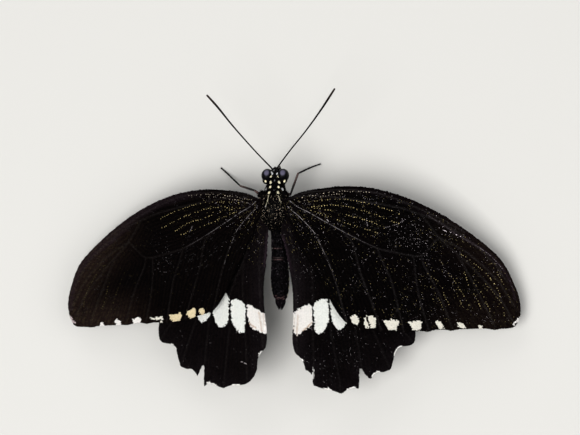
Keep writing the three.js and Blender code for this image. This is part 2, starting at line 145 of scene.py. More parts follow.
# White marks, as outlines in the planform of their own wing, by the colour of their scales.
GREEN_WHITE = (0.765, 0.768, 0.722)
PINK_CREAM = (0.77, 0.735, 0.695)
PALE_CREAM = (0.735, 0.70, 0.605)
# Painted shade: the next two colours are only on the left forewing, whose marks are drawn darker and yellower
# than their twins on the right.
SHADED_YELLOW_CREAM = (0.66, 0.55, 0.345)
SHADED_DULL_PINK = (0.42, 0.34, 0.34)
FOREWING_MARKS = {
    RIGHT: {
        PALE_CREAM: [
            [(12.12, -21.9), (13.0, -21.6), (13.8, -22.0), (13.8, -22.95), (13.7, -23.5), (12.5, -23.0)],
            [(14.8, -22.0), (15.2, -22.2), (15.7, -24.0), (15.0, -23.85)],
            [(15.4, -21.8), (16.4, -21.75), (17.1, -22.3), (16.9, -24.0), (16.2, -24.05)],
            [(18.3, -22.5), (19.3, -22.7), (19.95, -22.45), (21.4, -22.6), (21.4, -23.3), (20.9, -24.4),
             (19.4, -24.4), (18.9, -23.5)],
            [(23.0, -22.85), (24.0, -22.9), (24.7, -22.7), (25.7, -22.8), (25.5, -23.7), (25.1, -24.5),
             (23.85, -24.45), (23.55, -23.6)],
            [(27.9, -22.75), (28.7, -22.8), (29.4, -22.9), (29.5, -23.4), (29.9, -24.15), (28.8, -24.05),
             (28.4, -23.4)],
            [(32.3, -23.05), (32.95, -23.0), (33.6, -23.5), (33.9, -24.1), (32.7, -24.05)],
            [(36.25, -23.8), (36.7, -23.5), (37.2, -23.8), (36.9, -24.25), (36.3, -24.2)],
        ],
        PINK_CREAM: [
            [(44.0, -21.9), (43.9, -22.6), (43.3, -23.3), (42.7, -23.8), (42.95, -23.2), (43.5, -22.6)],
        ],
    },
    LEFT: {
        # Painted shade: darker and yellower than the same marks of the right forewing.
        SHADED_YELLOW_CREAM: [
            [(14.9, -22.75), (14.4, -22.45), (13.7, -22.9), (13.6, -23.35), (14.1, -23.9), (14.8, -23.65)],
            [(17.55, -22.8), (16.3, -22.4), (15.5, -22.4), (15.75, -23.3), (15.85, -24.4), (17.1, -24.35),
             (17.7, -23.5)],
            [(21.65, -23.2), (20.8, -23.15), (20.1, -23.25), (18.95, -22.95), (18.8, -23.7),
             (19.25, -24.8), (20.75, -24.95), (21.45, -24.2)],
        ],
        PALE_CREAM: [
            [(25.9, -23.55), (24.6, -23.65), (23.2, -23.45), (23.05, -24.2), (24.3, -24.1), (25.65, -24.0)],
            [(23.85, -24.4), (23.25, -24.4), (23.25, -25.05), (23.75, -25.1)],
        ],
        PINK_CREAM: [
            [(30.0, -23.55), (28.7, -23.3), (28.05, -23.45), (28.25, -24.7), (29.7, -24.75)],
            [(34.05, -23.7), (33.25, -23.35), (32.6, -23.85), (32.75, -24.7), (33.7, -24.75)],
            [(37.45, -23.95), (36.95, -23.7), (36.4, -24.3), (36.7, -24.7), (37.4, -24.7)],
        ],
        # Painted shade: the tip mark, darker than the right forewing's.
        SHADED_DULL_PINK: [
            [(44.3, -22.0), (44.2, -22.8), (43.4, -23.6), (42.9, -23.8), (43.0, -23.3), (43.5, -22.8),
             (43.7, -22.1)],
        ],
    },
}
# The end of the hindwing's band, which lies under the forewing.
HIDDEN_BAND = [
    [(15.6, -18.9), (16.6, -19.2), (17.2, -18.4), (16.9, -16.6), (16.1, -15.0), (15.2, -14.6),
     (14.8, -15.6), (15.2, -17.4)],
    [(17.8, -16.4), (18.7, -16.4), (18.9, -15.4), (18.4, -14.0), (17.6, -13.2), (17.0, -13.4),
     (17.1, -14.8)],
]
HINDWING_MARKS = {
    RIGHT: {
        PINK_CREAM: [
            [(1.15, -19.1), (1.75, -18.6), (2.3, -18.2), (3.0, -17.75), (3.8, -17.4), (4.5, -17.4),
             (4.72, -18.0), (4.65, -21.2), (4.0, -21.75), (2.85, -22.5), (1.8, -23.35), (1.3, -22.7),
             (1.12, -21.1)],
        ],
        GREEN_WHITE: [
            [(4.97, -17.35), (5.75, -16.8), (6.6, -16.35), (7.5, -16.4), (7.82, -17.3), (7.9, -20.6),
             (7.55, -21.3), (6.8, -22.4), (6.05, -22.85), (5.45, -22.9), (5.25, -21.8), (5.1, -19.9)],
            [(8.0, -16.3), (8.2, -18.6), (8.5, -20.4), (9.0, -21.6), (9.7, -22.15), (10.45, -22.05),
             (10.85, -21.4), (11.4, -20.7), (11.5, -19.0), (11.2, -16.8), (10.4, -15.3), (9.4, -14.8),
             (8.5, -15.1)],
            [(12.1, -19.2), (12.4, -19.9), (13.2, -20.6), (14.3, -21.0), (14.8, -20.6), (15.0, -19.6),
             (14.6, -17.5), (13.9, -15.6), (12.9, -14.9), (12.2, -15.2), (11.9, -17.0)],
            *HIDDEN_BAND,
        ],
    },
    LEFT: {
        PINK_CREAM: [
            [(4.3, -17.85), (3.85, -17.8), (3.25, -18.3), (2.55, -18.8), (1.9, -19.4), (1.25, -19.65),
             (0.95, -20.3), (0.8, -21.8), (0.92, -23.3), (1.4, -23.75), (2.3, -23.15), (3.5, -22.55),
             (4.0, -21.6), (4.3, -20.1)],
        ],
        GREEN_WHITE: [
            [(7.6, -17.0), (6.9, -16.75), (6.35, -16.7), (5.4, -17.2), (4.85, -17.55), (4.6, -18.5),
             (4.72, -20.8), (5.0, -22.95), (5.5, -23.15), (6.2, -23.25), (6.95, -22.4), (7.6, -21.2),
             (7.8, -19.4)],
            [(9.0, -15.4), (8.3, -15.9), (7.95, -16.6), (8.08, -18.4), (8.3, -20.3), (8.65, -21.3),
             (9.4, -21.8), (10.4, -22.15), (11.3, -21.0), (11.65, -19.7), (11.6, -17.6), (10.9, -15.8),
             (9.9, -15.0)],
            [(12.05, -19.15), (12.4, -19.95), (13.25, -20.65), (14.45, -21.3), (14.85, -20.8),
             (15.05, -20.0), (14.6, -17.5), (13.9, -15.6), (12.9, -14.9), (12.2, -15.2), (11.9, -17.0)],
            *HIDDEN_BAND,
        ],
    },
}
LUNULE_WHITE = (0.80, 0.77, 0.73)
LUNULE_WIDTH = 0.15
# The white rims of the dips in the hindwing's margin: where, and how long along the margin.
LUNULES = {
    "hindwing_right": [((20.67, -25.88), 2.4), ((16.58, -30.3), 1.8), ((12.1, -33.2), 1.7),
                       ((7.74, -33.2), 1.5), ((2.9, -27.75), 0.8)],
    "hindwing_left": [((20.83, -25.8), 1.6), ((12.9, -33.0), 2.0), ((7.5, -33.3), 1.6), ((2.3, -27.4), 1.2)],
}
# Soft brown streaks on the hindwing's innermost mark: how strong, and from where to where.
MARK_STREAKS = [(0.55, [(2.05, -19.2), (1.75, -22.9)]), (0.3, [(1.35, -19.6), (1.3, -22.2)]),
                (0.8, [(4.5, -20.6), (3.8, -21.4), (2.9, -22.1)])]
# The greyish streak that runs along the forewing's front edge: a painted sheen.
COSTAL_STREAK = [(22.0, -0.9), (26.59, -2.85), (29.51, -4.7), (32.7, -6.82), (36.16, -8.81), (38.56, -10.54),
                 (40.69, -12.9), (42.3, -15.8), (43.0, -18.6)]
# Lines of golden scales on the forewing, with how strong each one is: the folds of the cell on both wings,
# and those between the outer veins. The first folds are paler than the others.
PALE_FOLDS = 2
GOLD_FOLDS = [
    (0.9, [(1.54, 0.11), (5.0, 0.84), (8.61, 1.41), (10.64, 1.6), (13.09, 1.59), (15.6, 1.42)]),
    (0.8, [(2.6, -0.35), (5.0, 0.26), (8.61, 0.98), (10.49, 1.13)]),
    (1.0, [(2.9, -0.6), (5.0, -0.25), (8.61, 0.15), (11.07, 0.09), (14.83, -0.49), (18.44, -1.55),
           (21.2, -2.6)]),
    (1.0, [(4.3, -1.3), (6.88, -1.04), (9.19, -1.01), (11.94, -1.3), (14.83, -2.12), (17.72, -3.06),
           (21.2, -4.5)]),
    (0.9, [(5.4, -1.5), (7.75, -1.83), (9.19, -2.05), (12.51, -3.15), (15.55, -3.86), (18.44, -5.3)]),
    (0.9, [(4.6, -1.9), (7.46, -2.85), (10.06, -3.86), (12.51, -4.65), (15.4, -5.52), (17.2, -6.1)]),
    (0.3, [(4.4, -11.16), (6.95, -15.35)]),
]
GOLD_TIPS = {
    RIGHT: [
        (1.0, [(32.5, -9.9), (34.83, -11.46), (36.42, -12.66), (38.02, -14.25), (39.35, -15.84),
               (40.3, -18.0)]),
        (0.6, [(38.56, -11.86), (39.89, -13.99), (41.22, -16.38), (42.2, -19.2)]),
        (0.7, [(37.5, -15.8), (38.56, -16.8), (39.89, -18.5), (40.69, -19.82), (41.09, -21.68)]),
        (0.7, [(35.4, -15.6), (37.22, -18.23), (37.9, -19.8), (38.9, -21.8)]),
        (0.7, [(33.5, -13.6), (34.56, -16.37), (35.89, -18.49), (36.8, -20.8)]),
        (0.7, [(30.5, -13.6), (31.64, -15.04), (33.23, -17.69), (34.43, -19.68)]),
        (0.4, [(29.0, -11.2), (30.6, -14.0), (32.2, -17.8), (33.2, -19.8)]),
        (0.5, [(26.6, -13.8), (28.98, -15.57), (29.51, -17.16), (30.6, -19.6)]),
        (0.4, [(27.2, -16.2), (28.98, -19.01), (29.6, -20.6)]),
    ],
    LEFT: [
        (0.25, [(33.0, -10.4), (36.0, -12.6), (39.0, -16.4), (40.6, -20.0)]),
        (0.2, [(34.0, -14.3), (35.4, -18.5), (36.9, -21.6)]),
        (0.15, [(30.6, -13.4), (33.0, -18.0), (34.5, -21.6)]),
    ],
}
# How many groups of pale specks are strewn over each wing, and how bright the brightest of them are.
SPECKS = {"forewing_right": (340, 1.2), "forewing_left": (110, 0.2),
          "hindwing_right": (280, 1.4), "hindwing_left": (60, 0.9)}
# Worn streaks, drawn pale as painted highlights where they catch the light, and the painted highlight along
# the costal streak.
SCRATCHES_AND_HIGHLIGHTS = {
    "forewing_right": [
        (2.0, [(29.5, -5.6), (30.3, -5.95)]), (2.0, [(31.0, -6.1), (32.8, -6.84)]),
        (0.5, [(18.2, -5.3), (20.0, -4.8), (21.0, -4.5), (22.4, -3.6)]), (0.6, [(15.1, -3.2), (15.3, -4.8)]),
        (0.3, [(10.93, -3.35), (10.35, -4.8)]), (0.6, [(13.38, -6.38), (13.7, -6.67)]),
        (0.9, [(7.17, -5.8), (6.95, -6.2)]), (1.6, [(7.8, -3.8), (7.98, -3.92)]),
        # Painted highlight along the costal streak.
        (0.15, COSTAL_STREAK[1:5]), (0.4, COSTAL_STREAK[4:7]),
    ],
    "forewing_left": [(0.3, [(14.6, -4.4), (15.4, -5.6)])],
    "hindwing_right": [],
    "hindwing_left": [(1.1, [(6.14, -28.7), (5.5, -28.95), (5.0, -29.15)])],
}
# The cloud of greyish specks near the end of the cell: its middle and spread, their count and brightness.
CELL_DUST = {RIGHT: ((25.5, -6.5), (3.2, 2.6), 200, 1.8), LEFT: ((21.6, -11.2), (1.3, 2.3), 90, 0.5)}
# Fine worn strokes in the middle of the left forewing.
STROKES = dict(middle=(13.0, -10.2), spread=(3.6, 1.9), count=60, length=1.3, brightness=0.13)
# The dark colours of each wing: the warm tone beside its veins, the brown haze of its outer parts (and of the
# hindwing's inner part), the strength and width of the costal streak (a painted sheen), the purplish band
# along the front edge (the wing's purplish brown, partly painted sheen), how grey its veins are, and how
# bright its bare veins and its golden lines are.
TONES = {
    "forewing_right": dict(warm=0.3, haze=0.28, costa=0.68, costa_width=0.2, band=0.06, vein=0.03, bare=0.85,
                           gold=1.0),
    "forewing_left": dict(warm=0.5, haze=0.8, costa=0.4, costa_width=0.38, band=0.3, vein=0.015, bare=0.6,
                          gold=0.72),
    "hindwing_right": dict(warm=0.3, haze=0.04, inner=0.16, vein=0.012, bare=1.0),
    "hindwing_left": dict(warm=0.45, haze=0.06, inner=0.05, vein=0.012, bare=1.0),
}

# ------------------------------------------------------------------ curves and distances


def smooth_curve(points, per_segment):
    """A Catmull-Rom curve through points, with so many steps between each two of them."""
    points = np.array(points, float)
    padded = np.vstack([points[:1], points, points[-1:]])
    share = (np.arange(per_segment) / per_segment)[None, :, None]
    a, b, c, d = (padded[i:len(padded) - 3 + i, None] for i in range(4))
    curve = 0.5 * (2 * b + (c - a) * share + (2 * a - 5 * b + 4 * c - d) * share**2
                   + (3 * b - a - 3 * c + d) * share**3)
    return np.vstack([curve.reshape(-1, points.shape[1]), points[-1:]])


def even_steps(line, step):
    """The same line with its points an even step apart."""
    lengths = np.concatenate([[0], np.cumsum(np.linalg.norm(np.diff(line, axis=0), axis=1))])
    places = np.linspace(0, lengths[-1], max(2, int(round(lengths[-1] / step)) + 1))
    return np.stack([np.interp(places, lengths, column) for column in line.T], 1)


def closed(outline):
    return np.vstack([outline, outline[:1]])


def away_from(points, place=(0.0, 0.0)):
    """How far each point of the planform is from a place, which is the wing's root if none is given."""
    return np.hypot(*(points - place).T)


def distance_to_line(points, line):
    """How far each point is from an open line of points."""
    best = np.full(len(points), np.inf)
    for start, end in zip(line[:-1], line[1:]):
        along = end - start
        share = np.clip((points - start) @ along / max(float(along @ along), 1e-12), 0, 1)
        gap = points - start - share[:, None] * along
        best = np.minimum(best, np.einsum("ij,ij->i", gap, gap))
    return np.sqrt(best)


def is_inside(points, outline):
    """True for each point inside a closed outline."""
    x, y = points.T
    inside = np.zeros(len(points), bool)
    for (x0, y0), (x1, y1) in zip(outline, np.roll(outline, -1, axis=0)):
        if y0 != y1:
            inside ^= ((y0 > y) != (y1 > y)) & (x < (x1 - x0) * (y - y0) / (y1 - y0) + x0)
    return inside


def depth_inside(points, outline):
    """How deep each point lies inside a closed outline, and below zero outside it."""
    outline = np.asarray(outline, float)
    away = distance_to_line(points, closed(outline))
    return np.where(is_inside(points, outline), away, -away)


def hex_grid(low, high, step, rng, jitter):
    """Points on a hexagonal grid over a box, each moved a little at random."""
    rows = np.arange(low[1], high[1], step * 0.866)
    x, y = np.meshgrid(np.arange(low[0], high[0], step), rows)
    x = x + (np.arange(len(rows)) % 2)[:, None] * step / 2
    points = np.stack([x.ravel(), y.ravel()], 1)
    return points + rng.uniform(-jitter, jitter, points.shape) * step


FIELD_STEP = 0.12


class Field:
    """A function of the planform worked out once on a fine grid, and read between its points."""

    def __init__(self, low, high, function):
        self.low = low - 2 * FIELD_STEP
        self.shape = np.ceil((high - self.low) / FIELD_STEP).astype(int) + 3
        axes = [self.low[i] + np.arange(self.shape[i]) * FIELD_STEP for i in (0, 1)]
        grid = np.stack(np.meshgrid(*axes, indexing="ij"), -1).reshape(-1, 2)
        self.values = function(grid).reshape(self.shape)

    def __call__(self, uv):
        place = np.clip((uv - self.low) / FIELD_STEP, 0, self.shape - 1.001)
        i, j = place.astype(int).T
        s, t = (place - place.astype(int)).T
        near, far = (self.values[i, k] * (1 - s) + self.values[i + 1, k] * s for k in (j, j + 1))
        return near * (1 - t) + far * t


def unit(vectors):
    return vectors / np.maximum(np.linalg.norm(vectors, axis=-1, keepdims=True), 1e-12)


def step_up(low, high, values):
    """0 below low, 1 above high, and a smooth step between."""
    share = np.clip((values - low) / (high - low), 0, 1)
    return share * share * (3 - 2 * share)


def bell(values, width):
    """1 at zero, falling off on both sides within about the width."""
    return np.exp(-((values / width) ** 2))


def blend(first, second, share):
    """From the first colour to the second by each point's share."""
    return first + (np.asarray(second) - first) * np.asarray(share)[:, None]


def repeated(row, count):
    """The same colour or direction so many times, one below the other."""
    return np.tile(row, (count, 1))


# ------------------------------------------------------------------ meshes


def build_mesh(name, points, faces, material, **attributes):
    """A mesh object from millimetre points and an array of triangles, with per-point attributes."""
    mesh = bpy.data.meshes.new(name)
    world = (np.asarray(points, float) + BODY_ORIGIN) * MM
    faces = np.asarray(faces)
    mesh.vertices.add(len(world))
    mesh.vertices.foreach_set("co", world.ravel())
    mesh.loops.add(faces.size)
    mesh.loops.foreach_set("vertex_index", faces.ravel())
    mesh.polygons.add(len(faces))
    mesh.polygons.foreach_set("loop_start", np.arange(0, faces.size, 3))
    mesh.polygons.foreach_set("use_smooth", np.ones(len(faces), bool))
    mesh.update(calc_edges=True)
    for key, values in attributes.items():
        values = np.asarray(values, float)
        if key == "bake_uv":
            mesh.uv_layers.new(name="OFBake").data.foreach_set("uv", values[faces.ravel()].ravel())
        elif values.ndim == 2:
            colours = np.ones((len(values), 4))
            colours[:, :3] = values
            mesh.attributes.new(key, "FLOAT_COLOR", "POINT").data.foreach_set("color", colours.ravel())
        else:
            mesh.attributes.new(key, "FLOAT", "POINT").data.foreach_set("value", values)
    mesh.materials.append(material)
    return add_object(name, mesh)


def add_object(name, data):
    """An object of this scene, holding a mesh, a light or a camera."""
    thing = bpy.data.objects.new(name, data)
    bpy.context.collection.objects.link(thing)
    return thing


def adopt(piece, slot, *nodes):
    """The piece rides on the only body, and stands for the solids it replaces."""
    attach(piece, "root")
    if nodes:
        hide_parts(*nodes)


def join(shapes):
    """One set of points and faces out of several."""
    offsets = np.cumsum([0] + [len(points) for points, _ in shapes[:-1]])
    points = np.vstack([points for points, _ in shapes])
    return points, np.vstack([faces + offset for (_, faces), offset in zip(shapes, offsets)])


def tube_faces(count, sides):
    """The faces of a closed tube of so many rings, whose two end points come after its rings."""
    k, j = (index.ravel() for index in np.meshgrid(np.arange(count - 1), np.arange(sides), indexing="ij"))
    a, b = k * sides + j, k * sides + (j + 1) % sides
    j = np.arange(sides)
    end, last = np.full(sides, count * sides), (count - 1) * sides
    return np.vstack([
        np.stack([a, b, a + sides], 1), np.stack([b, b + sides, a + sides], 1),
        np.stack([end, (j + 1) % sides, j], 1), np.stack([end + 1, last + j, last + (j + 1) % sides], 1),
    ])


def tube(path, wide, high=None, sides=16, up=(0.0, 0.0, 1.0)):
    """A closed tube along path, with the half width and half height of each of its rings."""
    path = np.asarray(path, float)
    high = wide if high is None else high
    ahead = unit(np.gradient(path, axis=0))
    side = unit(np.cross(ahead, up))
    lift = np.cross(side, ahead)
    angle = np.arange(sides) * 2 * math.pi / sides
    rings = (path[:, None] + side[:, None] * (wide[:, None] * np.cos(angle))[..., None]
             + lift[:, None] * (high[:, None] * np.sin(angle))[..., None])
    return np.vstack([rings.reshape(-1, 3), path[:1], path[-1:]]), tube_faces(len(path), sides)


def summed(corners, values, count):
    """The sum of the values that fall to each of so many points."""
    return np.stack([np.bincount(corners, column, count) for column in values.T], 1)


def mesh_normals(points, faces):
    corners = points[faces]
    flat = np.cross(corners[:, 1] - corners[:, 0], corners[:, 2] - corners[:, 0])
    return unit(sum(summed(corner, flat, len(points)) for corner in faces.T))


def relaxed(points, faces, rounds):
    """Each point moved halfway to the middle of its neighbours, so many times."""
    here, there = np.vstack([faces[:, [0, 1]], faces[:, [1, 2]], faces[:, [2, 0]]]).T
    counts = np.bincount(here, minlength=len(points))[:, None]
    for _ in range(rounds):
        points = (points + summed(here, points[there], len(points)) / counts) / 2
    return points


def fused(shapes, voxel):
    """One closed surface round several closed shapes, in faces about as fine as the voxel."""
    points, faces = join(shapes)
    mesh = bpy.data.meshes.new("fused")
    mesh.from_pydata(points.tolist(), [], faces.tolist())
    piece = add_object("fused", mesh)
    modifier = piece.modifiers.new("fuse", "REMESH")
    modifier.mode = "VOXEL"
    modifier.voxel_size = voxel
    whole = piece.evaluated_get(bpy.context.evaluated_depsgraph_get()).to_mesh()
    points = np.empty(len(whole.vertices) * 3)
    whole.vertices.foreach_get("co", points)
    corners = np.empty(len(whole.loops), int)
    whole.loops.foreach_get("vertex_index", corners)
    quads = corners.reshape(-1, 4)
    bpy.data.objects.remove(piece)
    bpy.data.meshes.remove(mesh)
    return points.reshape(-1, 3), np.vstack([quads[:, [0, 1, 2]], quads[:, [0, 2, 3]]])


# ------------------------------------------------------------------ materials

# The tinted surfaces: how rough each is and how much it shines, its grain's scale, height in metres and
# strength, and how much the grain mottles its colour.
FINISHES = {
    "wing_scales": (0.5, 0.005, 9000, 0.00001, 0.4, 0),
    "wing_fringe": (0.6, 0.01, 12000, 0.00001, 0.4, 0),
    "body_skin": (0.42, 0.04, 5000, 0.00003, 0.5, 0.25),
    "body_coat": (0.5, 0.004, 12000, 0.00001, 0.4, 0),
    "feeler_chitin": (0.5, 0.04, 15000, 0.00001, 0.4, 0),
    "tongue_chitin": (0.4, 0.3, 15000, 0.00001, 0.4, 0),
    "leg_chitin": (0.45, 0.2, 12000, 0.00001, 0.4, 0.2),
    "leg_scales": (0.55, 0.08, 12000, 0.00001, 0.4, 0),
}


class Surface:
    """A material, built node by node."""

    def __init__(self, name, roughness, specular):
        self.material = bpy.data.materials.new(name)
        self.material.use_nodes = True
        self.tree = self.material.node_tree
        self.shader = self.tree.nodes["Principled BSDF"]
        self.fill(self.shader, {"Roughness": roughness, "Specular IOR Level": specular})

    def fill(self, node, inputs):
        """Sets inputs of a node, each to a value or by a link from another node's output."""
        for key, value in inputs.items():
            if isinstance(value, bpy.types.NodeSocket):
                self.tree.links.new(value, node.inputs[key])
            else:
                node.inputs[key].default_value = value

    def add(self, kind, output, inputs=None, **settings):
        """Adds a node and gives the output asked for."""
        node = self.tree.nodes.new("ShaderNode" + kind)
        for key, value in settings.items():
            setattr(node, key, value)
        self.fill(node, inputs or {})
        return node.outputs[output]

    def attribute(self, name, output="Color"):
        return self.add("Attribute", output, attribute_name=name)

    def grain(self, scale):
        """Fine noise that is fixed to the object."""
        place = self.add("TexCoord", "Object")
        return self.add("TexNoise", "Fac", {"Vector": place, "Scale": scale, "Detail": 2})

    def finish(self, colour, relief, strength, height):
        """Colours the surface, raises its relief, and gives the material."""
        normal = self.add("Bump", "Normal", {"Height": relief, "Strength": strength, "Distance": height})
        self.fill(self.shader, {"Base Color": colour, "Normal": normal})
        return self.material


def tinted_material(name):
    """A surface that carries its own colour point by point, with a fine grain in bump and a mottled tone."""
    roughness, specular, scale, height, strength, mottle = FINISHES[name]
    surface = Surface(name, roughness, specular)
    colour, grain = surface.attribute("tint"), surface.grain(scale)
    if mottle:
        # Most of the noise lies between 0.3 and 0.7.
        tone = surface.add("MapRange", "Result", {"Value": grain, "From Min": 0.3, "From Max": 0.7,
                                                  "To Min": 1 - mottle, "To Max": 1 + mottle})
        colour = surface.add("VectorMath", "Vector", {0: colour, "Scale": tone}, operation="SCALE")
    return surface.finish(colour, grain, strength, height)


def membrane_material():
    """The wing's own skin under its scales: dark, and white with a ragged edge inside the marks."""
    surface = Surface("wing_membrane", 0.6, 0.03)
    grain, depth = surface.grain(6000), surface.attribute("depth", "Fac")
    ragged = surface.add("Math", 0, {0: grain, 1: 0.3, 2: depth}, operation="MULTIPLY_ADD")
    edge = surface.add("MapRange", "Result", {"Value": ragged, "From Min": 0.12, "From Max": 0.2})
    dark, white = surface.attribute("ground"), surface.attribute("tint")
    colour = surface.add("Mix", "Result", {"Factor": edge, "A": dark, "B": white}, data_type="RGBA")
    return surface.finish(colour, grain, 0.5, 0.00006)


# ------------------------------------------------------------------ coat: scales and hairs

# Each point of a scale or hair: across by its width, along by its length, off the skin by its lift, and its
# own thickness by its width again. A scale is a shield with its root at the origin.
SCALE = np.array([(0, 0, 0, 0), (0.46, 0.42, 0.5, 0), (0.34, 0.98, 0.95, 0), (-0.34, 0.98, 0.95, 0),
                  (-0.46, 0.42, 0.5, 0), (0, 0.55, 0.6, 0.16), (0, 0.45, 0.45, -0.1)])
SCALE_FACES = np.array([(5, 1, 0), (5, 2, 1), (5, 3, 2), (5, 4, 3), (5, 0, 4),
                        (6, 0, 1), (6, 1, 2), (6, 2, 3), (6, 3, 4), (6, 4, 0)])
# One hair: a three-sided blade that bends back towards the skin at its middle.
HAIR = np.array([(-0.5, 0, 0, 0), (0.5, 0, 0, 0), (0, 0, 0, 0.8), (-0.4, 0.5, 0.75, 0), (0.4, 0.5, 0.75, 0),
                 (0, 0.5, 0.75, 0.6), (0, 1, 1, 0)])
HAIR_FACES = np.array([(0, 4, 3), (0, 1, 4), (1, 5, 4), (1, 2, 5), (2, 3, 5), (2, 0, 3), (3, 4, 6), (4, 5, 6),
                       (5, 3, 6), (0, 2, 1)])
COAT_KINDS = {"scale": (SCALE, SCALE_FACES), "hair": (HAIR, HAIR_FACES)}
PATCH = 0.003  # how wide the bake map's patch of each scale or hair is


class Coat:
    """Scales and hairs gathered into one mesh."""

    def __init__(self):
        self.shapes, self.tints, self.bakes = [], [], []

    def add(self, kind, roots, along, normals, width, length, lift, colours, places):
        """Copies of one shape, each at its own root and along its own direction. places are the roots' places
        in the bake map, where each copy gets a patch of its own."""
        shape, faces = COAT_KINDS[kind]
        count = len(roots)
        along = unit(along - normals * np.sum(along * normals, 1, keepdims=True))
        across = np.cross(along, normals)
        width, length, lift = (np.broadcast_to(size, count)[:, None, None] for size in (width, length, lift))
        x, y, z, thick = (shape[None, :, i:i + 1] for i in range(4))
        points = (roots[:, None] + width * x * across[:, None] + length * y * along[:, None]
                  + (lift * z + width * thick) * normals[:, None])
        every = faces[None] + (np.arange(count) * len(shape))[:, None, None]
        bake = places[:, None] + (shape[:, :2] - (0, 0.5)) * PATCH
        self.shapes.append((points.reshape(-1, 3), every.reshape(-1, 3)))
        self.tints.append(np.repeat(colours, len(shape), 0))
        self.bakes.append(bake.reshape(-1, 2))

    def build(self, name, material, slot):
        tint, bake_uv = np.vstack(self.tints), np.vstack(self.bakes)
        adopt(build_mesh(name, *join(self.shapes), material, tint=tint, bake_uv=bake_uv), slot)


# ------------------------------------------------------------------ wings

HALF_SHEET = 0.06  # half the thickness of a wing's sheet
SHEET_STEP = 0.32  # how far apart the points of the sheet lie
RIM_INSET = 0.14  # how far the sheet stops inside the outline, which the fringe reaches
SCALLOP = 0.22  # how deep the forewing's hem is scalloped between the ends of its veins
HEM_DROPS = {RIGHT: 0.2, LEFT: 0.55}  # how far the forewing's hem is drawn down near its tip
FAR = 99.0  # further than any distance on a wing
LIE_ORIGIN = np.array([-4.0, 2.0])  # where the scales of a wing point away from
VEIN_SIDES = 6
VEIN_TAPER = [0, 8, 25, 45], [0.05, 0.038, 0.036, 0.034]  # distances from the wing's root, and radii there
BARE_VEIN_RISE = 0.05  # how much higher the bare veins stand
FRONT_VEIN_GIRTH = 2.2  # how much thicker the vein of the front edge is
BARE_REACH = 19  # how far from the root the scales are off the bare veins
UPPER_SCALE_STEP, LOWER_SCALE_STEP = 0.223, 0.30
FRINGE_STEP = 0.085
FRINGE_REACH, FRONT_REACH, TORN_REACH = 0.24, 0.1, 0.02  # how far the fringe stands out of the outline
HIDDEN_DEPTH = 1.5  # how deep under the other wing the scales are left out

BLACK = np.array([0.0010, 0.0007, 0.0008])
WARM_BROWN = np.array([0.0036, 0.0023, 0.0018])
PURPLE_BROWN = np.array([0.019, 0.012, 0.016])
OUTER_BROWN = np.array([0.0125, 0.0072, 0.0060])
HIND_BROWN = np.array([0.0175, 0.0132, 0.0152])
MARK_BROWN = np.array([0.42, 0.25, 0.13])
LUNULE_RED = np.array([0.33, 0.09, 0.045])
VEIN_GREY = np.array([0.34, 0.31, 0.31])
GOLD = np.array([0.38, 0.30, 0.13])
DUST = np.array([0.42, 0.37, 0.38])
PALE_GOLD = (GOLD + DUST) / 1.7

fields = {}  # what is worked out once for the wings that share it


def quarter_turn(directions):
    """Directions in the planform, each turned a quarter to its left."""
    return directions[:, ::-1] * (-1, 1)


def inset_line(line, inset):
    """An open line moved to its right hand side."""
    return line - quarter_turn(unit(np.gradient(line, axis=0))) * inset


def inset_outline(outline, inset):
    """The outline moved inwards, without the points where it would fold over itself."""
    inward = -quarter_turn(unit(np.roll(outline, -1, axis=0) - np.roll(outline, 1, axis=0)))
    if depth_inside(outline + inward * 0.02, outline).mean() < 0:
        inward = -inward
    moved = outline + inward * inset
    return moved[depth_inside(moved, outline) > inset * 0.93]


def distance_to_lines(points, lines):
    """How far each point is from the nearest of several smooth lines, and FAR if there are none."""
    distances = [distance_to_line(points, even_steps(line, 0.8)) for line in lines]
    return np.min([np.full(len(points), FAR), *distances], 0)


def is_front(uv):
    """True for points along the forewing's front edge, which is ahead of this slanting line."""
    return uv[:, 1] > 6 - 0.62 * uv[:, 0]


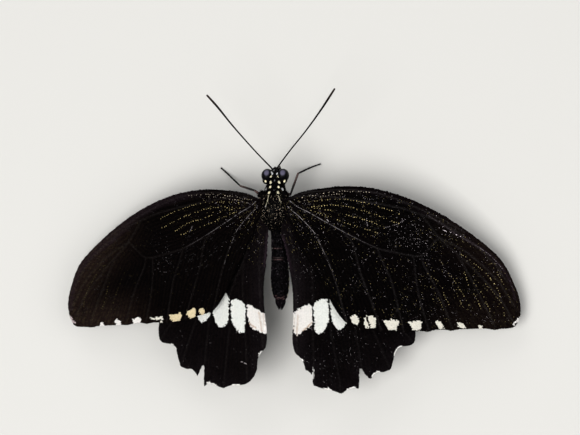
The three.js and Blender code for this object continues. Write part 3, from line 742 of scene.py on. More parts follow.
class Wing:
    """One wing: its outline, how it is held, its veins and its marks."""

    def __init__(self, kind, side):
        self.kind, self.side, self.fore = kind, side, kind == "forewing"
        self.name = f"{kind}_{SIDE_WORDS[side]}"
        self.hold, self.form, self.tone = HOLDS[self.name], FORMS[kind], TONES[self.name]
        self.veins = [smooth_curve(vein, 6) for vein in (FOREWING_VEINS if self.fore else HINDWING_VEINS)]
        control = FOREWING_OUTLINE if self.fore else HINDWING_FRONT + HINDWING_HEMS[side] + HINDWING_INNER
        self.outline = even_steps(smooth_curve(control + control[:1], 12), 0.2)[:-1]
        self.front_vein = []
        if self.fore:
            self.shape_hem()
            # The thick vein of the front edge, from its root nearly to its tip.
            self.front_vein = [inset_line(self.outline[1:self.outline[:, 0].argmax() + 1], 0.11)]
        self.low, self.high = self.outline.min(0), self.outline.max(0)
        marks = (FOREWING_MARKS if self.fore else HINDWING_MARKS)[side]
        self.marks = [(colour, outline) for colour, outlines in marks.items() for outline in outlines]
        bare = self.veins[:BARE_VEINS[kind]]
        self.vein_away = self.field(kind, lambda uv: distance_to_lines(uv, self.veins))
        self.bare_away = self.field(kind + " bare", lambda uv: distance_to_lines(uv, bare))
        self.depth = self.field(self.name + " rim", lambda uv: depth_inside(uv, self.outline))

    def shape_hem(self):
        """Scallops the forewing's hem between the ends of its veins, and draws it down near its tip."""
        x, y = self.outline.T
        hem = step_up(-22.6, -23.6, y) * step_up(12, 16, x)  # 1 on the hem, and 0 on the rest of the outline
        scallop = SCALLOP * step_up(0, 1.8, distance_to_lines(self.outline, self.veins))
        drop = HEM_DROPS[self.side] * step_up(26, 35, x)
        self.outline[:, 1] += hem * (scallop - drop)

    def field(self, name, function):
        if name not in fields:
            fields[name] = Field(self.low, self.high, function)
        return fields[name]

    def place(self, uv, lift=0.0):
        """Where points of the planform lie in space, lifted off the middle of the wing."""
        hold, form = self.hold, self.form
        angle = np.arctan2(uv[:, 1], uv[:, 0])
        drawn = away_from(uv) * (1 + hold["narrow"] * np.minimum(angle, 0) / (math.pi / 2))
        turned = angle * (1 + hold["fan"]) + math.radians(hold["sweep"])
        x, y = drawn * np.cos(turned), drawn * np.sin(turned)
        share = x / form["span"]
        inner = np.maximum(0, 1 - np.maximum(x, 0) / CURL_WIDTH)
        z = form["arch"] * (0.6 * share - share**2) - form["curl"] * inner**2 * step_up(3, 9, -y)
        z = z + self.relief(uv) + lift
        droop, root = math.radians(hold["droop"]), hold["root"]
        return np.stack([
            self.side * (root[0] + x * math.cos(droop) + z * math.sin(droop)),
            root[1] + y,
            root[2] - x * math.sin(droop) + z * math.cos(droop),
        ], 1)

    def relief(self, uv):
        """Raised along the veins, and sunk a little between them."""
        away = self.vein_away(uv)
        return 0.05 * bell(away, 0.22) + 0.12 * np.exp(-away / 0.9) - 0.06

    def lie(self, uv):
        """The direction of the scales in the planform: away from the root."""
        return unit(uv - LIE_ORIGIN)

    def frames(self, uv, face, lift, lie):
        """For each point: its place, the direction that the scales point, and the normal of that face."""
        height, step = face * (HALF_SHEET + lift), 0.05
        here = self.place(uv, height)
        along, across = (unit(self.place(uv + way * step, height) - here) for way in (lie, quarter_turn(lie)))
        return here, along, unit(np.cross(along, across)) * self.side * face

    def mark_depth(self, uv):
        """How deep each point lies in the nearest white mark, and that mark's colour."""
        depths = np.array([depth_inside(uv, outline) for _, outline in self.marks])
        colours = np.array([colour for colour, _ in self.marks])[depths.argmax(0)]
        deepest = depths.max(0)
        rim = self.depth(uv)
        for place, length in LUNULES.get(self.name, []):
            nearest = self.outline[away_from(self.outline, place).argmin()]
            lunule = np.minimum(LUNULE_WIDTH - rim, length / 2 - away_from(uv, nearest))
            colours[lunule > deepest] = LUNULE_WHITE
            deepest = np.maximum(deepest, lunule)
        return deepest, colours

    def mark_colour(self, uv, colours):
        """The colours of the marks, with the brown streaks of the hindwing's innermost one."""
        if not self.fore:
            for strength, line in MARK_STREAKS:
                away = distance_to_line(uv, even_steps(smooth_curve(line, 4), 0.3))
                colours = blend(colours, MARK_BROWN, strength * bell(away, 0.13))
        return colours

    def ground(self, uv):
        """The dark colour: black, warmer in stripes beside the veins, and greyer on them."""
        away = self.vein_away(uv)
        stripes = 0.5 + 0.5 * np.sin(away * 9)
        colour = blend(repeated(BLACK, len(uv)), WARM_BROWN, self.tone["warm"] * stripes)
        colour = self.fore_ground(uv, colour, stripes) if self.fore else self.hind_ground(uv, colour)
        return blend(colour, VEIN_GREY, bell(away, 0.12) * self.tone["vein"])

    def fore_ground(self, uv, colour, stripes):
        """The forewing's brown haze, patchy golden tint, and the painted sheen of its costal streak and
        purplish front band.
        """
        x, rim, tone = uv[:, 0], self.depth(uv), self.tone
        haze = step_up(10, 0.5, rim) * step_up(22, 38, x)
        edge = 0.22 * np.exp(-rim) * step_up(10, 20, x)
        colour = blend(colour, OUTER_BROWN, tone["haze"] * np.clip(haze + edge, 0, 1))
        reach, bearing = away_from(uv, LIE_ORIGIN), np.arctan2(*(uv - LIE_ORIGIN).T)
        patches = 0.5 + 0.5 * np.sin(2.4 * reach + 3 * np.sin(150 * bearing))
        colour = blend(colour, GOLD, 0.032 * tone["haze"] * haze * stripes * patches)
        # Painted sheen in purplish brown: the costal streak, and in part the band along the front edge.
        streak = distance_to_line(uv, even_steps(smooth_curve(COSTAL_STREAK, 4), 0.8))
        costa = bell(streak, tone["costa_width"]) * step_up(22, 34, x)
        band = step_up(1.9, 0.9, rim) * step_up(10, 16, x) * is_front(uv)
        return blend(colour, PURPLE_BROWN, np.maximum(tone["costa"] * costa, tone["band"] * band))

    def hind_ground(self, uv, colour):
        """The hindwing's brown rim and inner part, and the purplish fold along its inner edge."""
        (x, y), rim = uv.T, self.depth(uv)
        inner = self.tone["inner"] * step_up(5.0, 0.8, x) * step_up(-6, -14, y)
        colour = blend(colour, HIND_BROWN, self.tone["haze"] + inner + 0.16 * np.exp(-rim / 1.6))
        fold = bell(rim, 0.4) * (x < 1.6) * step_up(-3.5, -5, y) * step_up(-12, -9, y)
        return blend(colour, PURPLE_BROWN, 0.9 * fold)

    def underside(self, uv, colour):
        """What only the lower face has: pale streaks near the forewing's tip, and dull red lunules inside the
        hindwing's hem."""
        x, y = uv.T
        rim = self.depth(uv)
        between = step_up(0.5, 0.9, self.vein_away(uv))
        if self.fore:
            return blend(colour, DUST, 0.10 * between * step_up(20, 36, x) * step_up(0.8, 3, rim))
        return blend(colour, LUNULE_RED, 0.8 * bell(rim - 2.3, 0.42) * between * (x - y > 30))

    def bake_places(self, uv):
        return 0.02 + (uv - self.low) / (self.high - self.low).max() * 0.95


def vein_tubes(wing):
    """The veins as tubes that taper outwards. The last list tells how far each point of a bare vein is from
    the wing's root, and FAR for a covered one."""
    shapes, distances = [], []
    for number, vein in enumerate(wing.veins + wing.front_vein):
        bare = number < BARE_VEINS[wing.kind]
        line = even_steps(vein, 0.45)
        line = line[wing.depth(line) > 0.08]
        reach = away_from(line)
        wide = high = np.interp(reach, *VEIN_TAPER)
        if bare:
            high = high + BARE_VEIN_RISE
        if number == len(wing.veins):
            wide = high = wide * FRONT_VEIN_GIRTH
        sideways = quarter_turn(unit(np.gradient(line, axis=0)))
        rings = []
        for angle in np.arange(VEIN_SIDES) * 2 * math.pi / VEIN_SIDES:
            aside = sideways * (wide * math.cos(angle))[:, None]
            rings.append(wing.place(line + aside, high * math.sin(angle)))
        points = np.vstack([np.stack(rings, 1).reshape(-1, 3), wing.place(line[[0, -1]])])
        faces = tube_faces(len(line), VEIN_SIDES)
        shapes.append((points, faces[:, ::-1] if wing.side == RIGHT else faces))
        seen = reach if bare else np.full(len(line), FAR)
        distances.append(np.concatenate([np.repeat(seen, VEIN_SIDES), seen[[0, -1]]]))
    return *join(shapes), np.concatenate(distances)


def build_membrane(wing, material):
    """The thin sheet of a wing and its veins."""
    rng = np.random.default_rng(11)
    rim = inset_outline(wing.outline, RIM_INSET)
    grid = hex_grid(wing.low, wing.high, SHEET_STEP, rng, 0.08)
    grid = grid[wing.depth(grid) > RIM_INSET + 0.5 * SHEET_STEP]
    flat = [Vector(point) for point in np.vstack([rim, grid]).tolist()]
    flat, _, triangles, *_ = geometry.delaunay_2d_cdt(flat, [], [list(range(len(rim)))], 1, 1e-5)
    uv, faces = (np.array([tuple(item) for item in items]) for items in (flat, triangles))
    count = len(uv)
    top, bottom = wing.place(uv, HALF_SHEET), wing.place(uv, -HALF_SHEET)
    if mesh_normals(top, faces)[:, 2].sum() < 0:
        faces = faces[:, ::-1]
    first = np.arange(len(rim))
    second = (first + 1) % len(rim)
    if (np.cross(rim, np.roll(rim, -1, axis=0)).sum() < 0) == (wing.side == RIGHT):
        first, second = second, first
    walls = np.vstack([np.stack([first, first + count, second + count], 1),
                       np.stack([first, second + count, second], 1)])
    sheet = np.vstack([top, bottom]), np.vstack([faces, faces[:, ::-1] + count, walls])
    *veins, reach = vein_tubes(wing)
    depth, tint = wing.mark_depth(uv)
    ground = wing.ground(uv)
    vein_colour = blend(repeated(VEIN_GREY * wing.tone["bare"], len(reach)), PURPLE_BROWN * 0.2,
                        step_up(4, 22, reach))
    piece = build_mesh(f"membrane_{wing.name}", *join([sheet, veins]), material,
                       depth=np.concatenate([depth, depth, np.full(len(reach), -1.0)]),
                       tint=np.vstack([tint, tint, vein_colour]),
                       ground=np.vstack([ground, ground, vein_colour]))
    adopt(piece, "wing", wing.name)


def dotted(line, step, keep, spread, rng):
    """Points along a line, some of them left out, each a little off it."""
    points = even_steps(smooth_curve(line, 6), step)
    points = points[rng.random(len(points)) < keep]
    return points + rng.normal(0, spread, points.shape)


def dust_points(wing, rng):
    """Where the light scales lie, with their colours and sizes: the dotted golden folds, the worn streaks
    with their painted highlights and the strokes, the painted highlight on the costal streak, the dusting of
    the base, and the specks."""
    parts = []

    def add(points, colour, low, high, size):
        """Most of them are about as dim as the low brightness, and a few as bright as the high one."""
        brightness = low + (high - low) * rng.random((len(points), 1)) ** 3
        parts.append((points, colour * brightness, np.full(len(points), size)))

    if wing.fore:
        for number, (strength, line) in enumerate(GOLD_FOLDS + GOLD_TIPS[wing.side]):
            strength = strength * wing.tone["gold"]
            colour = PALE_GOLD if number < PALE_FOLDS else GOLD
            # A row of beads, and finer dust beside it.
            beads = dotted(line, 0.5, 0.6 + 0.4 * strength, 0.05, rng)
            add(beads, colour, 0.8 * strength, 2.45 * strength, 0.62)
            add(dotted(line, 0.36, 0.4, 0.16, rng), colour * 0.6, 0.0, 1.6 * strength, 0.42)
    # Worn streaks drawn as painted highlights, and the painted highlight along the costal streak.
    for strength, line in SCRATCHES_AND_HIGHLIGHTS[wing.name]:
        add(dotted(line, 0.15, 0.95, 0.02, rng), DUST, strength, strength, 0.6)
    if wing.name == "forewing_left":
        for _ in range(STROKES["count"]):
            start = rng.normal(0, 1, 2) * STROKES["spread"] + STROKES["middle"]
            end = start + wing.lie(start[None])[0] * STROKES["length"] * rng.uniform(0.3, 1.0)
            add(dotted([start, end], 0.16, 0.9, 0.02, rng), DUST, 0.0, STROKES["brightness"], 0.5)
    for colour, top in ((GOLD, 1.6), (DUST, 1.4)):
        # The dusting of the base thins out away from the root.
        base = rng.random((2000, 2)) * (13, 14) + (0.2, -11.5)
        add(base[rng.random(len(base)) < 0.45 * bell(away_from(base), 6.8)], colour, 0.0, top, 0.36)
    count, top = SPECKS[wing.name]
    for colour in (DUST, GOLD * wing.fore):
        # Specks lie in loose little groups of six.
        middles = rng.random((count, 1, 2)) * (wing.high - wing.low) + wing.low
        specks = middles + rng.normal(0, 0.55, (count, 6, 2))
        add(specks.reshape(-1, 2), colour, 0.0, top, 0.36)
    if wing.fore:
        middle, spread, count, top = CELL_DUST[wing.side]
        add(rng.normal(0, 1, (count, 2)) * spread + middle, DUST, 0.0, top, 0.42)
    places, colours, sizes = (np.concatenate(part) for part in zip(*parts))
    kept = (wing.depth(places) > 0.5) & (wing.mark_depth(places)[0] < -0.1)
    return places[kept], colours[kept], sizes[kept]


def build_scales(wing, face, step, cover, material, seed):
    """Overlapping scales over one face of a wing. face is 1 for the upper and -1 for the lower one, and cover
    is the outline of the wing that hides part of this face, or None."""
    rng = np.random.default_rng(seed)
    uv = hex_grid(wing.low, wing.high, step, rng, 0.2)
    uv = uv[wing.depth(uv) > 0.08]
    if cover is not None:
        uv = uv[depth_inside(wing.place(uv)[:, :2], cover) <= HIDDEN_DEPTH]
    count = len(uv)
    width = step * rng.uniform(1.05, 1.4, count)
    length = step * rng.uniform(1.6, 2.1, count)
    lift = rng.uniform(0.03, 0.05, count)
    turn = rng.normal(0, 0.13, count)
    visible = uv + wing.lie(uv) * length[:, None] * 0.6  # the part that the next row leaves uncovered
    depth, tint = wing.mark_depth(visible + rng.normal(0, 0.07, uv.shape))
    marked = depth > 0
    colour = wing.ground(uv) * rng.uniform(0.6, 1.45, (count, 1))
    colour[marked] = (wing.mark_colour(uv, tint) * rng.uniform(0.86, 1.0, (count, 1)))[marked]
    if face < 0:
        colour[~marked] = wing.underside(uv, colour)[~marked]
    else:
        # Each light scale takes the place of the dark one nearest to it.
        tree = kdtree.KDTree(count)
        for index, place in enumerate(uv):
            tree.insert((*place, 0), index)
        tree.balance()
        for place, light, size in zip(*dust_points(wing, rng)):
            _, index, gap = tree.find((*place, 0))
            if gap < step and not marked[index]:
                uv[index], colour[index] = place, light
                width[index] *= size * 0.9
                length[index] *= size * 0.8
                lift[index] += 0.05
    lie = wing.lie(uv)
    lie = lie * np.cos(turn)[:, None] + quarter_turn(lie) * np.sin(turn)[:, None]
    bare = (wing.bare_away(uv) < 0.1) & (away_from(uv) < BARE_REACH)
    kept = (wing.depth(uv + lie * length[:, None]) > 0.02) & ~bare
    coat = Coat()
    values = (*wing.frames(uv, face, 0.005, lie), width, length, lift, colour, wing.bake_places(uv))
    coat.add("scale", *(value[kept] for value in values))
    coat.build(f"scales_{'upper' if face > 0 else 'lower'}_{wing.name}", material, "wing")


def add_rim_scales(wing, coat, rng):
    """Two layers of narrow scales along the rim, a little longer at the ends of the veins."""
    rim = even_steps(closed(wing.outline), FRINGE_STEP)[:-1]
    count = len(rim)
    outward = quarter_turn(unit(np.roll(rim, -3, axis=0) - np.roll(rim, 3, axis=0)))
    if wing.depth(rim + outward * 0.3).mean() > 0:
        outward = -outward
    front = is_front(rim) | (rim[:, 0] < 0.4)
    depth, tint = wing.mark_depth(rim - outward * 0.12)
    white = depth > -0.02
    for face in (-1, 1):
        root = rim - outward * (RIM_INSET + rng.uniform(0.1, 0.2, (count, 1)))
        slant = 0.45 * wing.lie(rim) + rng.normal(0, 0.1, rim.shape)
        lie = unit(outward * np.where(front, 0.25, 1.0)[:, None] + slant * np.where(white, 0.4, 1.0)[:, None])
        swell = (0.85 + 0.35 * bell(wing.vein_away(rim), 0.5)) * rng.uniform(0.9, 1.1, count)
        length = (RIM_INSET + FRINGE_REACH) * np.where(white, 0.95, swell)
        length[front] = RIM_INSET + FRONT_REACH
        for tear, radius in TEARS.get(wing.name, []):
            length[away_from(rim, tear) < radius] = RIM_INSET + TORN_REACH
        colour = np.where(white[:, None], tint, wing.ground(root) * rng.uniform(0.5, 1.2, (count, 1)))
        coat.add("scale", *wing.frames(root, face, -0.02, lie), 0.15, length, rng.uniform(-0.02, 0.03, count),
                 colour, wing.bake_places(root))


def add_base_hairs(wing, coat, rng):
    """The hairs near the wing's root, and along the hindwing's inner edge. A few of them are golden."""
    hairs = rng.random((5200, 2)) * (6, 27) + (-0.3, -25)
    if wing.fore:
        near = bell(away_from(hairs), 3.2)
    else:
        near = 0.35 * bell(hairs[:, 0] - 1.2, 0.9) + bell(away_from(hairs), 4.0)
    hairs = hairs[(rng.random(len(hairs)) < near * 0.55) & (wing.depth(hairs) > 0.15)]
    hairs = hairs[wing.mark_depth(hairs)[0] < -0.5]
    count = len(hairs)
    frames = wing.frames(hairs, 1, 0.0, unit(hairs - (-3, 6) + rng.normal(0, 1.2, hairs.shape)))
    golden = (rng.random((count, 1)) < 0.1) & (away_from(hairs) < 7)[:, None]
    colour = np.where(golden, GOLD * 0.3, PURPLE_BROWN * 0.4) * rng.uniform(0.4, 1.2, (count, 1))
    coat.add("hair", *frames, 0.04, rng.uniform(0.6, 1.2, count), rng.uniform(0.06, 0.16, count), colour,
             wing.bake_places(hairs))


def build_fringe(wing, material):
    """The fine scales of the rim, and the hairs of the wing's base."""
    rng = np.random.default_rng(5)
    coat = Coat()
    add_rim_scales(wing, coat, rng)
    add_base_hairs(wing, coat, rng)
    coat.build(f"fringe_{wing.name}", material, "wing")


def build_wings():
    membrane = membrane_material()
    scales = tinted_material("wing_scales")
    fringe = tinted_material("wing_fringe")
    for side in (RIGHT, LEFT):
        fore, hind = Wing("forewing", side), Wing("hindwing", side)
        # The forewing lies over the hindwing.
        for wing, other, hidden_face in ((fore, hind, -1), (hind, fore, 1)):
            cover = other.place(other.outline)[::3, :2]
            build_membrane(wing, membrane)
            for face, step, seed in ((1, UPPER_SCALE_STEP, 31), (-1, LOWER_SCALE_STEP, 32)):
                build_scales(wing, face, step, cover if face == hidden_face else None, scales, seed)
            build_fringe(wing, fringe)


# ------------------------------------------------------------------ body

# Rings of the trunk: y, half width, half height, and the x and z of the ring's middle.
TRUNK = [
    (7.9, 0.15, 0.25, 0, 11.6), (7.7, 0.5, 0.75, 0, 11.5), (7.1, 1.1, 1.5, 0, 11.3),
    (6.3, 1.55, 1.9, 0, 11.0), (5.5, 1.7, 1.65, 0, 10.95), (4.95, 1.65, 1.5, 0.05, 11.0),
    (4.4, 1.8, 1.7, 0.05, 11.1), (3.7, 1.95, 2.1, 0, 11.2), (3.2, 2.2, 2.5, 0, 11.25),
    (2.2, 2.65, 2.95, 0, 11.3), (0.6, 2.85, 3.15, 0, 11.3), (-1.2, 2.7, 3.05, 0, 11.2),
    (-2.6, 2.0, 2.4, 0.08, 11.05), (-3.4, 1.3, 1.7, 0.22, 10.9), (-4.3, 1.2, 1.5, 0.32, 10.75),
    (-6.0, 1.38, 1.6, 0.45, 10.4), (-8.5, 1.45, 1.68, 0.5, 9.95), (-11.0, 1.62, 1.72, 0.52, 9.6),
    (-13.0, 1.72, 1.72, 0.52, 9.4), (-15.0, 1.6, 1.6, 0.54, 9.25), (-16.0, 1.38, 1.36, 0.57, 9.2),
    (-16.6, 1.12, 1.12, 0.58, 9.1), (-17.0, 0.7, 0.7, 0.57, 9.05),
]
SKIN_INSET = 0.06  # how far inside those rings the skin is drawn, which leaves room for the coat
SKIN_VOXEL, SKIN_ROUNDS = 0.075, 4  # how fine the skin's faces are, and how often it is smoothed
PALP = [(0.75, 6.3, 9.2), (0.68, 7.0, 9.4), (0.6, 7.4, 10.1), (0.45, 7.45, 10.9)]
PALP_TAPER = [0, 0.35, 0.75, 1], [0.32, 0.38, 0.32, 0.16]  # shares of its length, and radii there
TEGULA = (2.05, 2.75, 13.0), (0.75, 1.0, 0.6)  # middle and radii of the cap over the wing's base
CHEEK = (1.58, 5.6, 11.6), (0.66, 0.58, 0.70)  # the same of the head's rim behind the eye
TAIL_X, TAIL_Z = 0.53, 9.05
CLASPER = [(0.45, -15.8, 0.1), (0.48, -17.0, 0.0), (0.34, -18.1, 0.0), (0.24, -18.65, 0.05)]  # off the tail
CLASPER_WIDE, CLASPER_HIGH = [0.5, 0.42, 0.08], [0.8, 0.62, 0.12]
ABDOMEN_RINGS = [-3.6, -5.4, -7.2, -9.2, -11.2, -13.1, -14.8, -16.4]  # the rear edge of each segment
# Pinkish lines across the abdomen where its skin faces up, and how strong each is: bare skin between two
# rings at the first, and painted highlights on the rings at the others.
RING_SKIN_AND_HIGHLIGHTS = [(-7.23, 1.3), (-9.0, 0.12), (-9.35, 0.5), (-16.6, 0.9)]
RING_PINK_AND_HIGHLIGHT = np.array([0.16, 0.09, 0.088])
CREAM = np.array([0.86, 0.79, 0.55])
COOL_WHITE = np.array([0.80, 0.80, 0.80])
CHITIN = np.array([0.0016, 0.0013, 0.0015])
# Pale spots and streaks on the right half of the head and thorax, and their twins on the left: the ends of
# each, seen from above or (with three numbers) from that point, half its width, and its colour.
SPOTS = [
    ((0.17, 7.58), (0.22, 7.44), 0.05, COOL_WHITE * 0.6),
    ((0.68, 7.20), (0.35, 6.85), 0.08, COOL_WHITE * 0.85),
    ((0.62, 6.42), (0.66, 6.34), 0.14, CREAM * 1.1),
    ((0.74, 5.40), (0.80, 5.24), 0.16, CREAM),
    ((1.83, 5.62), (1.78, 5.46), 0.12, CREAM * 1.1),
    ((0.73, 4.44), (0.73, 4.32), 0.15, CREAM),
    ((1.66, 4.05, 12.3), (1.72, 3.85, 12.2), 0.27, COOL_WHITE * 1.1),
    ((0.78, 3.44), (0.78, 3.26), 0.18, CREAM),
    ((0.84, 2.80), (1.13, 1.75), 0.045, CREAM * 0.75),
    ((1.13, 1.75), (1.55, 0.80), 0.04, CREAM * 0.6),
    ((1.53, 0.86), (1.58, 0.74), 0.06, COOL_WHITE * 0.6),
    ((0.0, 5.72), (0.0, 5.70), 0.09, COOL_WHITE * 0.25),
    ((0.0, 3.76), (0.0, 3.74), 0.08, COOL_WHITE * 0.15),
    ((0.0, -11.20), (0.0, -11.25), 0.05, COOL_WHITE * 0.4),
    ((2.35, 3.2, 10.6), (2.35, 3.0, 10.6), 0.2, COOL_WHITE * 0.8),
    ((2.9, 0.9, 9.6), (2.9, 0.6, 9.6), 0.22, COOL_WHITE * 0.8),
    ((2.4, -1.8, 9.4), (2.4, -2.1, 9.4), 0.2, COOL_WHITE * 0.8),
    # One on each side of each segment of the abdomen.
    *[((2.2, rear + 0.4, 9.3), (2.2, rear + 0.1, 9.3), 0.15, CREAM * 0.5) for rear in ABDOMEN_RINGS[2:]],
]
# The body is turned a little, so its middle line lies at these x at these y.
BODY_TURN = [0.8, 3.3], [0.35, 0.14]
REARWARD = np.array([0.0, -1.0, 0.0])
TRUNK_AXIS_Z, THORAX_AXIS_Z = 10.9, 11.5  # how high the whole trunk's middle line lies, and the thorax's


def ellipsoid(middle, radii, levels):
    """A ball of near equal triangles stretched to the radii, and how many points the level before had."""
    golden = (1 + math.sqrt(5)) / 2
    points = [(a, b, 0) for a in (-1, 1) for b in (-golden, golden)]
    points = unit(np.array(points + [(0, a, b) for a, b, _ in points] + [(b, 0, a) for a, b, _ in points]))
    gaps = np.linalg.norm(points[:, None] - points, axis=2)
    hull = [(i, j, k) for i in range(12) for j in range(i + 1, 12) for k in range(j + 1, 12)
            if max(gaps[i, j], gaps[j, k], gaps[k, i]) < 1.1]
    faces = np.array([(i, j, k) if np.linalg.det(points[[i, j, k]]) > 0 else (i, k, j) for i, j, k in hull])
    for _ in range(levels):
        coarse = len(points)
        edges = np.sort(np.vstack([faces[:, [0, 1]], faces[:, [1, 2]], faces[:, [2, 0]]]), 1)
        pairs, where = np.unique(edges, axis=0, return_inverse=True)
        points = np.vstack([points, unit(points[pairs].mean(1))])
        (a, b, c), (ab, bc, ca) = faces.T, coarse + where.reshape(3, -1)
        corners = ((a, ab, ca), (ab, b, bc), (ca, bc, c), (ab, bc, ca))
        faces = np.vstack([np.stack(corner, 1) for corner in corners])
    return points * radii + middle, faces, coarse


def body_shapes():
    """The closed shapes that the body's skin is drawn round."""
    y, wide, high, x, z = smooth_curve(TRUNK, 8).T
    shapes = [tube(np.stack([x, y, z], 1), wide - SKIN_INSET, high - SKIN_INSET, 48)]
    for side in (RIGHT, LEFT):
        palp = smooth_curve([(side * x, y, z) for x, y, z in PALP], 6)
        shapes.append(tube(palp, np.interp(np.linspace(0, 1, len(palp)), *PALP_TAPER), up=(1, 0, 0)))
        for (x, y, z), radii in (TEGULA, CHEEK):
            shapes.append(ellipsoid((side * x, y, z), radii, 3)[:2])
        clasper = smooth_curve([(TAIL_X + side * dx, y, TAIL_Z + dz) for dx, y, dz in CLASPER], 5)
        share = np.linspace(0, 1, len(clasper))
        wide, high = (np.interp(share, [0, 0.5, 1], size) for size in (CLASPER_WIDE, CLASPER_HIGH))
        shapes.append(tube(clasper, wide, high))
    return shapes


def segment_swell(y):
    """How far the abdomen's surface stands out, ring by ring: each segment laps over the next one's front."""
    swell = np.zeros_like(y)
    for front, rear in zip(ABDOMEN_RINGS[:-1], ABDOMEN_RINGS[1:]):
        share = (front - y) / (front - rear)
        swell += ((share >= 0) & (share < 1)) * (0.09 * share - 0.14 * bell(share, 0.09) - 0.03)
    return swell


class BodySkin:
    """The one skin of head, collar, thorax, abdomen, palps, claspers and tegulae."""

    def __init__(self):
        points, faces = fused(body_shapes(), SKIN_VOXEL)
        points = relaxed(points, faces, SKIN_ROUNDS)
        normals = mesh_normals(points, faces)
        if np.sum(normals * (points - points.mean(0))) < 0:
            faces, normals = faces[:, ::-1], -normals
        y = points[:, 1]
        self.hairy = step_up(-4.6, -3.0, y) * step_up(4.9, 3.4, y)  # 1 on the thorax, where the long pelt is
        swell = segment_swell(y) * step_up(-3.4, -4.4, y) - 0.10 * self.hairy
        self.points, self.faces = points + normals * swell[:, None], faces
        self.normals = mesh_normals(self.points, faces)
        self.tree = bvhtree.BVHTree.FromPolygons(self.points.tolist(), faces.tolist())
        self.spots = [self.snapped(spot, side) for spot in SPOTS for side in (RIGHT, LEFT)]

    def snapped(self, spot, side):
        """A spot with its ends moved onto the skin."""
        *ends, radius, colour = spot
        found = []
        for x, y, *z in ends:
            x = side * x + np.interp(y, *BODY_TURN)
            if z:
                found.append(self.tree.find_nearest(Vector((x, y, *z)))[0])
            else:
                found.append(self.tree.ray_cast(Vector((x, y, 20)), Vector((0, 0, -1)))[0])
        return np.array([tuple(point) for point in found]), radius, colour

    def spot_depth(self):
        """How deep each point of the skin lies in a pale spot, and that spot's colour."""
        best = np.full(len(self.points), -np.inf)
        colours = np.zeros_like(self.points)
        for ends, radius, colour in self.spots:
            depth = radius - distance_to_line(self.points, ends)
            colours[depth > best] = colour
            best = np.maximum(best, depth)
        return best, colours

    def build(self):
        """Black, with pale spots, and pinkish lines across the abdomen's rings where the skin faces up: bare
        skin at one and painted highlights at the others.
        """
        y, level = self.points[:, 1], step_up(0.4, 0.9, self.normals[:, 2])
        tint = repeated(CHITIN, len(y))
        # Painted highlights, with the bare skin of the first ring line: only where the skin faces up.
        for ring, strength in RING_SKIN_AND_HIGHLIGHTS:
            tint = blend(tint, RING_PINK_AND_HIGHLIGHT, strength * bell(y - ring, 0.07) * level)
        depth, colours = self.spot_depth()
        tint = blend(tint, colours, step_up(-0.02, 0.03, depth))
        nodes = [f"{part}_{word}" for part in ("clasper", "palp", "tegula") for word in SIDE_WORDS.values()]
        piece = build_mesh("body_skin", self.points, self.faces, tinted_material("body_skin"), tint=tint)
        adopt(piece, "body", "head", "collar", "thorax", "abdomen", *nodes)


